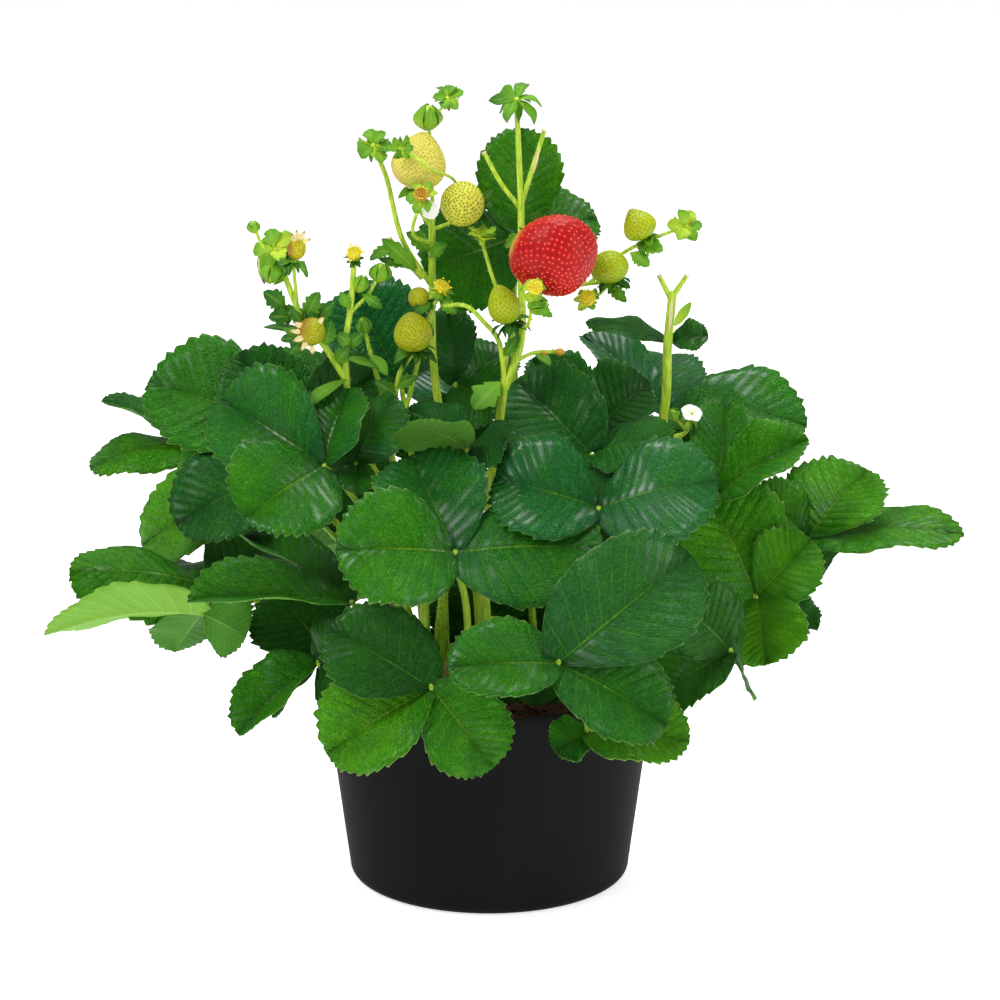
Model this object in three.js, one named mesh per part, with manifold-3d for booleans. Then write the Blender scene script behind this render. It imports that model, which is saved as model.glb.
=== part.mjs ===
// Potted strawberry plant: a black nursery pot, its soil, leafy crowns, flower trusses and fruit.
// Millimetres, +Z up. The origin is the centre of the pot's flat underside; -Y faces the viewer.
import * as THREE from 'three';
import { mergeVertices } from 'three/addons/utils/BufferGeometryUtils.js';
import Module from 'manifold-3d';

const wasm = await Module();
wasm.setup();

// Driving dimensions
const POT_TOP_DIAMETER = 150;
const POT_BASE_DIAMETER = 125;
const POT_HEIGHT = 94;
const POT_WALL = 2;
const POT_FLOOR = 2.6;
const POT_SIDES = 36;
const POT_FOOT_ROUND = 5;
const DRAIN_HOLE_DIAMETER = 9;
const DRAIN_HOLE_COUNT = 5;
const DRAIN_HOLE_CIRCLE = 88;
const SOIL_DEPTH_BELOW_RIM = 9;
const SOIL_MOUND = 4;
const FIT_GAP = 0.3;
const BLADE_THICKNESS = 0.6;
const TOOTH_DEPTH = 1.9;
const WAVE_HEIGHT = 0.9;
const WAVE_COUNT = 3.4;
const SIDE_PHASE = 2;
const SLOPE_STEP = 0.5;
const BASE_HALF_WIDTH = 0.7;
const PETIOLE_DIAMETER = 3.2;
const HUB_RADIUS = 1.6;
const HUB_THICKNESS = 1;
const MOST_CLEARANCE = 5;
const CLEARANCE_STEP = 0.1;
const CROWN_DIAMETER = 26;
const CROWN_TOP = 97;
const STALK_PLAY = 1.9;
const BRACT_THICKNESS = 0.8;
const BRACT_BASE_HALF_WIDTH = 0.9;
const SEPALS = 6;
const SEPAL_RISE = 1;
const SEPAL_BACK = 1.6;
const SEPAL_WAIST = 0.42;
const FRUIT_FULLNESS = 0.1;
const BUD_TAPER = 0.16;
const BUD_RINGS = 3;
const BUD_SIDES = 6;
const PETALS = 5;

// Colours
const LEAF_GREEN = '#2b6b24';
const STALK_GREEN = '#9bb53a';
const CALYX_GREEN = '#7fb02e';
const POT_BLACK = '#1b1c1f';
const SOIL_BROWN = '#3a2518';
const FRUIT_RED = '#c4202c';
const FRUIT_PALE = '#d6d36a';
const FRUIT_GREEN = '#a8a52a';
const FLOWER_YELLOW = '#e2c21e';
const PETAL_WHITE = '#f2f1ea';

const v = (x, y, z) => new THREE.Vector3(x, y, z);
const toRadians = THREE.MathUtils.degToRad;

// Joins a closed three.js geometry's doubled corners and makes it a solid
function solid(geometry) {
  const clean = geometry.index ? geometry.clone() : geometry;
  clean.deleteAttribute('normal');
  clean.deleteAttribute('uv');
  const merged = mergeVertices(clean, 1e-4);
  const body = new wasm.Manifold(new wasm.Mesh({
    numProp: 3,
    vertProperties: new Float32Array(merged.attributes.position.array),
    triVerts: new Uint32Array(merged.index.array),
  }));
  return body;
}

// Makes a solid from corner points and triangles, faces outward
function facets(points, triangles) {
  let volume = 0;
  for (const [a, b, c] of triangles) {
    volume += points[a].dot(v(0, 0, 0).crossVectors(points[b], points[c]));
  }
  const flat = triangles.flatMap(([a, b, c]) => (volume < 0 ? [a, c, b] : [a, b, c]));
  const geometry = new THREE.BufferGeometry();
  const corners = points.flatMap(({ x, y, z }) => [x, y, z]);
  geometry.setAttribute('position', new THREE.Float32BufferAttribute(corners, 3));
  geometry.setIndex(flat);
  return solid(geometry);
}

const union = (bodies) => bodies.reduce((all, body) => all.add(body));

// Keeps the largest piece of a body, so a sliver left by a cut is dropped
function largest(body) {
  const pieces = body.decompose();
  return pieces.reduce((best, piece) => (piece.volume() > best.volume() ? piece : best));
}

function toMesh(body, name, colour, roughness) {
  const data = largest(body).getMesh();
  const geometry = new THREE.BufferGeometry();
  geometry.setAttribute('position', new THREE.BufferAttribute(new Float32Array(data.vertProperties), 3));
  geometry.setIndex(new THREE.BufferAttribute(new Uint32Array(data.triVerts), 1));
  geometry.computeVertexNormals();
  const material = new THREE.MeshStandardMaterial({ color: colour, roughness, metalness: 0 });
  const mesh = new THREE.Mesh(geometry, material);
  mesh.name = name;
  return mesh;
}

// A round stalk along a curve
function stalk(curve, diameter, sides, steps) {
  const ring = new THREE.Shape();
  for (let i = 0; i < sides; i += 1) {
    const angle = (2 * Math.PI * i) / sides;
    const x = (diameter / 2) * Math.cos(angle);
    const y = (diameter / 2) * Math.sin(angle);
    if (i === 0) ring.moveTo(x, y);
    else ring.lineTo(x, y);
  }
  ring.closePath();
  return solid(new THREE.ExtrudeGeometry(ring, { steps, extrudePath: curve, bevelEnabled: false }));
}

// A lathe geometry from a profile of radius and height, with its axis upright
function turned(profile, sides) {
  const geometry = new THREE.LatheGeometry(profile.map(([r, z]) => new THREE.Vector2(r, z)), sides);
  geometry.rotateX(Math.PI / 2);
  return geometry;
}

const path = (points) => new THREE.CatmullRomCurve3(points.map((p) => v(...p)));

// Leaflet outline: half width, as a share of the widest, at shares of the length
const OUTLINE = [
  [0, 0.04], [0.14, 0.32], [0.3, 0.7], [0.45, 0.94], [0.58, 1],
  [0.72, 0.93], [0.85, 0.7], [0.95, 0.4], [1, 0],
];

function outlineAt(share) {
  for (let i = 1; i < OUTLINE.length; i += 1) {
    const [s0, w0] = OUTLINE[i - 1];
    const [s1, w1] = OUTLINE[i];
    if (share <= s1) return w0 + ((w1 - w0) * (share - s0)) / (s1 - s0);
  }
  return 0;
}

// The curved mid surface of one leaflet: along the midrib and across it, in millimetres
function leafletSurface(base, tip, facing, width, roll, fold, bend, phase) {
  const length = tip.distanceTo(base);
  const along = tip.clone().sub(base).normalize();
  const flatSide = v(0, 0, 0).crossVectors(facing, along).normalize();
  const flatUp = v(0, 0, 0).crossVectors(along, flatSide);
  const turn = toRadians(roll);
  const side = flatSide.clone().multiplyScalar(Math.cos(turn)).addScaledVector(flatUp, Math.sin(turn));
  const up = flatUp.clone().multiplyScalar(Math.cos(turn)).addScaledVector(flatSide, -Math.sin(turn));
  const lift = toRadians(fold);
  const point = (a, q) => {
    const s = a / length;
    const edge = Math.min(1, Math.abs((2 * q) / width));
    const turns = WAVE_COUNT * Math.PI * s + phase + (q > 0 ? 0 : SIDE_PHASE);
    const wave = WAVE_HEIGHT * edge * edge * Math.sin(turns);
    const rise = bend * length * 4 * s * (1 - s) + Math.abs(q) * Math.sin(lift) + wave;
    const flat = base.clone().addScaledVector(along, a).addScaledVector(side, q * Math.cos(lift));
    return flat.addScaledVector(up, rise);
  };
  const normal = (a, q) => {
    if (q === 0) return up.clone().divideScalar(Math.cos(lift));
    const step = SLOPE_STEP * Math.sign(q);
    const da = point(a + SLOPE_STEP, q).sub(point(a - SLOPE_STEP, q));
    const dq = point(a, q).sub(point(a, q - step)).multiplyScalar(Math.sign(q));
    return v(0, 0, 0).crossVectors(da, dq).normalize();
  };
  return { length, point, normal };
}

// Shares of the length of the notches between the teeth, and of the points on the midrib
const NOTCHES = [0, 0.16, 0.35, 0.53, 0.69, 0.83, 0.94];
const MIDRIB = [0, 0.38, 0.8];
const TOOTH_LEAN = 0.68;

// One toothed leaflet, open at its base: adds to the points and triangles, both faces split alike,
// and returns the base's point pairs from one side to the other
function addLeaflet(points, triangles, surface, width) {
  const { length } = surface;
  const pair = (a, q) => {
    const centre = surface.point(a, q);
    const normal = surface.normal(a, q).multiplyScalar(BLADE_THICKNESS / 2);
    points.push(centre.clone().add(normal), centre.clone().sub(normal));
    return points.length - 2;
  };
  const single = (a, q) => points.push(surface.point(a, q)) - 1;
  const half = (share) => Math.max(BASE_HALF_WIDTH, (width / 2) * outlineAt(share));
  const spine = MIDRIB.map((share) => pair(share * length, 0));
  const rows = {};
  for (const sign of [1, -1]) {
    const put = (i, j, k) => (sign > 0 ? face(triangles, i, k, j) : face(triangles, i, j, k));
    const edge = NOTCHES.map((share) => pair(share * length, sign * half(share)));
    rows[sign] = edge;
    let i = 0;
    let j = 0;
    while (i < NOTCHES.length - 1 || j < MIDRIB.length - 1) {
      const edgeNext = i < NOTCHES.length - 1 ? NOTCHES[i + 1] : 2;
      const spineNext = j < MIDRIB.length - 1 ? MIDRIB[j + 1] : 2;
      if (edgeNext <= spineNext) {
        put(spine[j], edge[i], edge[i + 1]);
        i += 1;
      } else {
        put(spine[j], edge[i], spine[j + 1]);
        j += 1;
      }
    }
    if (sign > 0) wall(triangles, edge[1], edge[0]);
    else wall(triangles, edge[0], edge[1]);
    for (let n = 1; n < NOTCHES.length - 1; n += 1) {
      const a0 = NOTCHES[n] * length;
      const a1 = NOTCHES[n + 1] * length;
      const q0 = half(NOTCHES[n]);
      const q1 = half(NOTCHES[n + 1]);
      const run = Math.hypot(a1 - a0, q1 - q0);
      const a = a0 + (a1 - a0) * TOOTH_LEAN - (TOOTH_DEPTH * (q1 - q0)) / run;
      const q = q0 + (q1 - q0) * TOOTH_LEAN + (TOOTH_DEPTH * (a1 - a0)) / run;
      tooth(triangles, edge[n], single(a, sign * q), edge[n + 1], sign);
    }
  }
  const last = NOTCHES.length - 1;
  face(triangles, spine[MIDRIB.length - 1], rows[-1][last], rows[1][last]);
  tooth(triangles, rows[1][last], single(length, 0), rows[-1][last], 1);
  return [rows[-1][0], spine[0], rows[1][0]];
}

// The same triangle on the upper face and on the lower one, whose points come next in the list
function face(triangles, i, j, k) {
  triangles.push([i, j, k], [i + 1, k + 1, j + 1]);
}

// A strip between the two faces along an edge
function wall(triangles, i, j) {
  triangles.push([i, i + 1, j + 1], [i, j + 1, j]);
}

// One tooth between two notches: both faces and both flanks run to a shared point
function tooth(triangles, first, point, second, sign) {
  const put = (i, j, k) => triangles.push(sign > 0 ? [i, k, j] : [i, j, k]);
  put(first, point, second);
  put(first + 1, second + 1, point);
  put(first, first + 1, point);
  put(second + 1, second, point);
}

// Leaflets [tip, facing, width, roll, fold, arch, phase] that meet in a small flat hub
function leafSolid(knot, leaflets) {
  const points = [];
  const triangles = [];
  const bases = leaflets.map(([tip, facing, width, roll, fold, bend, phase]) => {
    const start = knot.clone().addScaledVector(tip.clone().sub(knot).normalize(), HUB_RADIUS);
    const surface = leafletSurface(start, tip, facing, width, roll, fold, bend, phase);
    return { pairs: addLeaflet(points, triangles, surface, width), away: start.sub(knot) };
  });
  const axis = leaflets[0][1];
  const east = bases[0].away.clone().projectOnPlane(axis).normalize();
  const north = v(0, 0, 0).crossVectors(axis, east);
  const round = 2 * Math.PI;
  const bearing = ({ away }) => (Math.atan2(away.dot(north), away.dot(east)) + round) % round;
  const ring = bases.sort((a, b) => bearing(a) - bearing(b)).flatMap(({ pairs }) => pairs);
  const middle = v(0, 0, 0);
  for (const i of ring) middle.add(points[i]).add(points[i + 1]);
  middle.divideScalar(2 * ring.length);
  const half = axis.clone().multiplyScalar(HUB_THICKNESS / 2);
  points.push(middle.clone().add(half), middle.clone().sub(half));
  const hub = points.length - 2;
  ring.forEach((first, i) => {
    const second = ring[(i + 1) % ring.length];
    face(triangles, hub, first, second);
    if (i % 3 === 2) wall(triangles, first, second);
  });
  return facets(points, triangles);
}

// Each leaf: where its three leaflets meet, the way its upper face looks, where its stalk starts,
// how far the stalk arches above the leaf, and its leaflets as
// [tip, width, roll in degrees, fold in degrees, arch as a share of the length]
const LEAVES = {
  leaf_front_left: {
    at: [-24, -98, 115], facing: [-0.15, -0.75, 0.65], crown: 'left', arch: 26,
    leaflets: [
      [[-67, -86, 138], 41, 0, 8, 0.04],
      [[-68, -101, 87], 44, 0, 8, 0.05],
      [[2, -104, 82], 36, 0, 8, 0.05],
    ],
  },
  leaf_front_right: {
    at: [29, -112, 130], facing: [0.1, -0.7, 0.7], crown: 'right', arch: 24,
    leaflets: [
      [[-17, -118, 130], 34, 0, 10, 0.05],
      [[74, -112, 103], 42, 0, 8, 0.05],
      [[85, -79, 168], 50, 15, 8, 0.06],
    ],
  },
  leaf_front_centre: {
    at: [-14, -75, 168], facing: [-0.05, -0.55, 0.8], crown: 'left', arch: 10,
    leaflets: [
      [[-64, -87, 172], 49, -30, 10, 0.1],
      [[49, -72, 168], 48, 15, -12, 0.08],
      [[-34, -42, 202], 46, 0, 10, 0.05],
    ],
  },
  leaf_left_glossy: {
    at: [-71, -42, 198], facing: [-0.1, -0.4, 0.9], crown: 'left', arch: 6,
    leaflets: [
      [[-117, -14, 221], 48, -30, 14, 0.06],
      [[-104, -66, 180], 48, -30, 12, 0.06],
      [[-61, -21, 227], 34, -10, 14, 0.04],
    ],
  },
  leaf_left_high: {
    at: [-92, 22, 199], facing: [-0.2, -0.7, 0.7], crown: 'left', arch: 4,
    leaflets: [
      [[-153, 30, 220], 54, 0, 6, 0.05],
      [[-71, 58, 225], 48, 0, 8, 0.05],
      [[-126, 48, 173], 34, 0, 8, 0.05],
    ],
  },
  leaf_left_wing: {
    at: [-127, 62, 180], facing: [-0.2, -0.1, 1], crown: 'left', arch: 12,
    leaflets: [
      [[-182, 41, 178], 32, -15, -14, 0.12],
      [[-179, 72, 203], 34, 10, 10, 0.02],
      [[-129, 102, 212], 32, 0, 8, 0.05],
    ],
  },
  leaf_left_round: {
    at: [-95, 2, 184], facing: [-0.35, -0.6, 0.7], crown: 'left', arch: 6,
    leaflets: [
      [[-138, -12, 164], 43, -15, 6, 0.06],
      [[-158, 30, 144], 44, -10, 6, 0.06],
      [[-104, 34, 178], 30, 0, 8, 0.04],
    ],
  },
  leaf_left_arched: {
    at: [-125, -16, 138], facing: [0, -0.1, 1], crown: 'left', arch: -6,
    leaflets: [
      [[-183, -32, 148], 41, -30, -26, 0.08],
      [[-158, 24, 134], 28, 10, 8, 0.06],
      [[-96, 28, 146], 42, 30, 8, 0.05],
    ],
  },
  leaf_left_lime: {
    at: [-124, -46, 133], facing: [-0.1, 0.8, 0.6], crown: 'left', arch: -10,
    leaflets: [
      [[-190, -66, 129], 36, -15, 10, 0.07],
      [[-105, -50, 124], 28, -30, 6, 0.04],
      [[-139, -15, 107], 30, -10, 6, 0.04],
    ],
  },
  leaf_left_folded: {
    at: [-59, -60, 142], facing: [-0.1, 0.15, 1], crown: 'left', arch: -8,
    leaflets: [
      [[-128, -71, 145], 35, -30, 24, 0.05],
      [[-111, -4, 157], 32, 0, 20, 0.04],
      [[-38, -32, 148], 20, 0, 10, 0.04],
    ],
  },
  leaf_left_shade: {
    at: [-71, -46, 115], facing: [-0.3, -0.6, 0.7], crown: 'left', arch: 14,
    leaflets: [
      [[-93, -30, 140], 42, 0, 6, 0.04],
      [[-45, -67, 98], 20, 0, 8, 0.04],
      [[-94, -53, 88], 25, 30, 8, 0.04],
    ],
  },
  leaf_left_hanging: {
    at: [-73, -72, 118], facing: [-0.5, -0.5, 0.7], crown: 'left', arch: 12,
    leaflets: [
      [[-106, -90, 92], 30, -5, 26, 0.06],
      [[-50, -80, 97], 28, 0, 8, 0.04],
      [[-64, -76, 136], 20, 0, 8, 0.04],
    ],
  },
  leaf_centre_low: {
    at: [27, -58, 146], facing: [0, -0.2, 1], crown: 'right', arch: -6,
    leaflets: [
      [[-7, -70, 151], 34, 0, 8, 0.06],
      [[58, -46, 152], 28, 0, 14, 0.04],
      [[14, -37, 149], 22, 0, 8, 0.04],
    ],
  },
  leaf_rim_right: {
    at: [42, -84, 92], facing: [0.1, -0.6, 0.8], crown: 'right', arch: 26,
    leaflets: [
      [[85, -91, 89], 36, 0, 8, 0.08],
      [[62, -82, 110], 22, 0, 8, 0.04],
      [[28, -88, 84], 20, 0, 8, 0.04],
    ],
  },
  leaf_centre_right: {
    at: [47, -58, 183], facing: [0, -0.35, 0.95], crown: 'right', arch: 2,
    leaflets: [
      [[2, -49, 193], 48, -30, 12, 0.07],
      [[97, -60, 195], 50, 22, -6, 0.08],
      [[51, -22, 192], 30, 0, 8, 0.04],
    ],
  },
  leaf_middle_right: {
    at: [45, -16, 197], facing: [0, -0.35, 0.95], crown: 'right', arch: 2,
    leaflets: [
      [[-2, -36, 200], 30, 0, -10, 0.08],
      [[12, 12, 224], 43, -30, 10, 0.05],
      [[80, -26, 206], 36, 0, -6, 0.07],
    ],
  },
  leaf_middle_back: {
    at: [45, 24, 196], facing: [0, -0.4, 0.9], crown: 'right', arch: 2,
    leaflets: [
      [[19, 36, 229], 36, 0, 16, 0.04],
      [[72, 22, 221], 41, 15, 10, 0.05],
      [[48, 60, 212], 32, 0, 8, 0.04],
    ],
  },
  leaf_right_high: {
    at: [80, 44, 203], facing: [0.1, -0.45, 0.9], crown: 'right', arch: 2,
    leaflets: [
      [[43, 63, 235], 37, 15, 10, 0.05],
      [[144, 39, 198], 48, 0, 8, 0.08],
      [[82, 97, 219], 36, 0, 8, 0.05],
    ],
  },
  leaf_right_fan: {
    at: [100, -20, 180], facing: [0.1, -0.5, 0.85], crown: 'right', arch: 2, bow: [0, -22],
    leaflets: [
      [[105, 10, 215], 28, 0, 16, 0.03],
      [[139, -21, 205], 32, 0, 20, 0.05],
      [[118, 34, 188], 30, 0, 8, 0.05],
    ],
  },
  leaf_right_bright: {
    at: [118, -18, 133], facing: [0.2, -0.75, 0.65], crown: 'right', arch: 8,
    leaflets: [
      [[94, 0, 180], 50, -5, 6, 0.05],
      [[142, -14, 158], 32, 0, 6, 0.05],
      [[122, -33, 106], 40, 30, 6, 0.05],
    ],
  },
  leaf_right_far: {
    at: [142, 6, 153], facing: [0.1, -0.55, 0.8], crown: 'right', arch: 6,
    leaflets: [
      [[119, 12, 175], 28, 0, 8, 0.04],
      [[170, 22, 181], 50, -20, 6, 0.05],
      [[210, -9, 159], 34, -15, -6, 0.08],
    ],
  },
  leaf_right_dark: {
    at: [104, -62, 121], facing: [0.1, -0.7, 0.7], crown: 'right', arch: 3,
    leaflets: [
      [[71, -66, 100], 34, 20, 6, 0.05],
      [[81, -62, 143], 40, 0, 6, 0.04],
      [[111, -37, 102], 31, 15, 6, 0.04],
    ],
  },
  leaf_right_under: {
    at: [131, 16, 119], facing: [0.2, -0.3, 0.95], crown: 'right', arch: 8,
    leaflets: [
      [[149, 14, 110], 26, 0, 8, 0.04],
      [[167, 30, 150], 34, -30, 8, 0.04],
      [[112, 46, 142], 32, 0, 8, 0.04],
    ],
  },
  leaf_back_blue: {
    at: [-40, 40, 217], facing: [-0.1, -0.5, 0.85], crown: 'left', arch: 2,
    leaflets: [
      [[-62, 51, 259], 48, -15, 10, 0.04],
      [[-66, 74, 218], 32, 0, 8, 0.04],
      [[-18, 63, 224], 44, 35, 8, 0.04],
    ],
  },
  leaf_back_veined: {
    at: [-15, 26, 220], facing: [0, -0.5, 0.85], crown: 'left', arch: 2,
    leaflets: [
      [[-19, 36, 253], 22, 0, 16, 0.03],
      [[8, 46, 230], 30, 0, 8, 0.04],
      [[6, 16, 210], 33, 30, 8, 0.04],
    ],
  },
  leaf_top: {
    at: [13, 24, 287], facing: [0, -0.8, 0.6], crown: 'right', arch: 0, bow: [-8, 0],
    leaflets: [
      [[14, 30, 334], 36, 0, 6, 0.03],
      [[48, 33, 293], 35, -15, 6, 0.05],
      [[-29, 32, 270], 46, -30, 8, 0.04],
    ],
  },
  leaf_centre_edge: {
    at: [-9, -34, 204], facing: [-0.05, -0.05, 1], crown: 'left', arch: 2,
    leaflets: [
      [[-36, -20, 218], 28, 0, 12, 0.05],
      [[-35, -56, 219], 33, 30, -14, 0.06],
      [[8, -46, 211], 31, 30, -20, 0.05],
    ],
  },
  leaf_centre_silver: {
    at: [-58, -30, 196], facing: [0, -0.2, 1], crown: 'left', arch: 2, bow: [8, -8],
    leaflets: [
      [[-41, -34, 227], 31, 30, -30, 0.04],
      [[-67, -27, 202], 20, -30, 8, 0.04],
      [[-56, -48, 187], 16, 0, 8, 0.04],
    ],
  },
  leaf_back_left: {
    at: [-90, 72, 128], facing: [-0.3, 0.4, 0.9], crown: 'left', arch: 12,
    leaflets: [
      [[-142, 66, 116], 40, 0, 8, 0.06],
      [[-104, 120, 112], 42, 0, 8, 0.06],
      [[-52, 105, 128], 49, -30, 8, 0.06],
    ],
  },
  leaf_back_middle: {
    at: [-8, 96, 158], facing: [0, 0.45, 0.9], crown: 'left', arch: 10,
    leaflets: [
      [[-58, 106, 150], 40, 0, 8, 0.06],
      [[-6, 150, 140], 42, 0, 8, 0.06],
      [[44, 108, 150], 40, 0, 8, 0.06],
    ],
  },
  leaf_inner_right: {
    at: [86, 41, 147], facing: [-0.1, -0.95, 0.35], crown: 'right', arch: 8,
    leaflets: [
      [[33, 43, 137], 44, 0, 8, 0.05],
      [[92, 19, 102], 42, 0, 8, 0.05],
      [[78, 59, 192], 42, 0, 8, 0.05],
    ],
  },
  leaf_inner_left: {
    at: [-86, 17, 192], facing: [0.15, -0.95, 0.3], crown: 'left', arch: 8, bow: [0, 16],
    leaflets: [
      [[-49, 34, 227], 44, 20, 8, 0.05],
      [[-112, 25, 234], 42, 0, 8, 0.05],
      [[-45, 16, 165], 42, 0, 8, 0.05],
    ],
  },
};

const asVector = (point) => v(...point);

function leafBlade(leaf, order) {
  const facing = asVector(leaf.facing).normalize();
  return leafSolid(asVector(leaf.at), leaf.leaflets.map(([tip, width, roll, fold, bend], i) => (
    [asVector(tip), facing, width, roll, fold, bend, order + 2 * i]
  )));
}

const BLADES = Object.fromEntries(
  Object.entries(LEAVES).map(([name, leaf], order) => [name, leafBlade(leaf, order)]),
);

// Crowns: a short woody stock for each, which the leaf stalks grow from
const CROWNS = { left: [-25, 0], right: [25, 0] };
const CROWN_FOOT = 78;
const PETIOLE_CIRCLE = 7;
const PETIOLE_ROOT = 88;
const PETIOLE_SIDES = 4;
const PETIOLE_STEPS = 4;
const CROWN_SIDES = 10;

function petioleRoot(leaf) {
  const [centreX, centreY] = CROWNS[leaf.crown];
  const [x, y] = leaf.at;
  const reach = PETIOLE_CIRCLE / Math.hypot(x - centreX, y - centreY);
  return v(centreX + (x - centreX) * reach, centreY + (y - centreY) * reach, PETIOLE_ROOT);
}

// A point beside the crown's axis: a share of the way out to the leaf, at a share of its height
function alongStalk(leaf, out, up, lift) {
  const root = petioleRoot(leaf);
  const [x, y, z] = leaf.at;
  const [bowX, bowY] = leaf.bow || [0, 0];
  const height = CROWN_TOP + (z - CROWN_TOP) * up + lift;
  return v(root.x + (x - root.x) * out + bowX, root.y + (y - root.y) * out + bowY, height);
}

// A leaf's stalk, which ends short of the middle of the leaf by a clearance
function petioleShort(leaf, clearance) {
  const knot = asVector(leaf.at);
  const first = alongStalk(leaf, 0.12, 0.5, 0);
  const second = alongStalk(leaf, 0.7, 0.8, leaf.arch);
  const away = knot.clone().sub(second).normalize();
  const end = knot.clone().addScaledVector(away, -clearance);
  const curve = new THREE.CubicBezierCurve3(petioleRoot(leaf), first, second, end);
  return stalk(curve, PETIOLE_DIAMETER, PETIOLE_SIDES, PETIOLE_STEPS);
}

// The longest stalk that stays clear of the leaf it carries
function petiole(leaf, blade) {
  for (let clearance = 0; clearance < MOST_CLEARANCE; clearance += CLEARANCE_STEP) {
    const body = petioleShort(leaf, clearance);
    if (body.minGap(blade, 1) >= FIT_GAP) return body;
  }
  return petioleShort(leaf, MOST_CLEARANCE);
}

function crown(side) {
  const [centreX, centreY] = CROWNS[side];
  const radius = CROWN_DIAMETER / 2;
  const profile = [
    [0, CROWN_FOOT], [radius - 3, CROWN_FOOT], [radius, CROWN_FOOT + 7], [radius - 1, CROWN_TOP - 5],
    [radius - 6, CROWN_TOP], [0, CROWN_TOP + 1],
  ];
  const stock = turned(profile, CROWN_SIDES);
  stock.translate(centreX, centreY, 0);
  const carried = Object.entries(LEAVES).filter(([, leaf]) => leaf.crown === side);
  const stalks = carried.map(([name, leaf]) => petiole(leaf, BLADES[name]));
  return union([solid(stock), ...stalks]);
}

// A simple pointed blade without teeth, such as a bract on a stalk
function bract(base, tip, facing, width) {
  const length = tip.distanceTo(base);
  const along = tip.clone().sub(base).normalize();
  const side = v(0, 0, 0).crossVectors(facing, along).normalize();
  const up = v(0, 0, 0).crossVectors(along, side);
  const edge = [[0, BRACT_BASE_HALF_WIDTH], [0.35 * length, 0.45 * width], [0.72 * length, 0.4 * width]];
  const otherEdge = edge.map(([a, q]) => [a, -q]).reverse();
  const outline = [...edge, [length, 0], ...otherEdge].map(([a, q]) => new THREE.Vector2(a, q));
  const shape = new THREE.Shape(outline);
  const plate = new THREE.ExtrudeGeometry(shape, { depth: BRACT_THICKNESS, bevelEnabled: false });
  plate.translate(0, 0, -BRACT_THICKNESS / 2);
  plate.applyMatrix4(new THREE.Matrix4().makeBasis(along, side, up).setPosition(base));
  return solid(plate);
}

// A closed star with pointed lobes: its front rises a little, and droop bends the tips
function star(centre, axis, radius, droop, lobes, waist) {
  const out = axis.clone().normalize();
  const side = v(0, 0, 0).crossVectors(Math.abs(out.z) > 0.9 ? v(1, 0, 0) : v(0, 0, 1), out).normalize();
  const other = v(0, 0, 0).crossVectors(out, side);
  const front = centre.clone().addScaledVector(out, SEPAL_RISE);
  const back = centre.clone().addScaledVector(out, -SEPAL_BACK);
  const points = [front, back];
  const triangles = [];
  for (let i = 0; i < 2 * lobes; i += 1) {
    const angle = (Math.PI * i) / lobes;
    const tip = i % 2 === 0;
    const reach = tip ? radius : radius * waist;
    const point = centre.clone().addScaledVector(side, reach * Math.cos(angle));
    point.addScaledVector(other, reach * Math.sin(angle)).addScaledVector(out, tip ? droop * radius : 0);
    points.push(point);
    const next = 2 + ((i + 1) % (2 * lobes));
    triangles.push([0, i + 2, next], [1, next, i + 2]);
  }
  return facets(points, triangles);
}

// The sepals round the end of a stalk
function calyx(centre, axis, radius, droop) {
  return star(centre, axis, radius, droop, SEPALS, SEPAL_WAIST);
}

// A fruit between its calyx end and its tip, with raised seeds in rows round it; taper makes
// its shoulders broad and its tip narrow
function fruit(top, tip, width, taper, rings, sides, relief) {
  const length = tip.distanceTo(top);
  const ball = new THREE.SphereGeometry(1, sides, rings);
  const corners = ball.attributes.position;
  const point = v(0, 0, 0);
  for (let i = 0; i < corners.count; i += 1) {
    const row = Math.floor(i / (sides + 1));
    const column = i % (sides + 1);
    point.fromBufferAttribute(corners, i);
    const raised = row > 0 && row < rings && (row + (column % sides)) % 2 === 0 ? relief : 0;
    const shoulder = 1 + taper * point.y - FRUIT_FULLNESS * point.y * point.y;
    const girth = (width / 2) * shoulder + raised;
    corners.setXYZ(i, point.x * girth, point.y * (length / 2 + raised), point.z * girth);
  }
  const axis = top.clone().sub(tip).normalize();
  ball.applyQuaternion(new THREE.Quaternion().setFromUnitVectors(v(0, 1, 0), axis));
  const middle = top.clone().add(tip).multiplyScalar(0.5);
  ball.translate(middle.x, middle.y, middle.z);
  return solid(ball);
}

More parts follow.
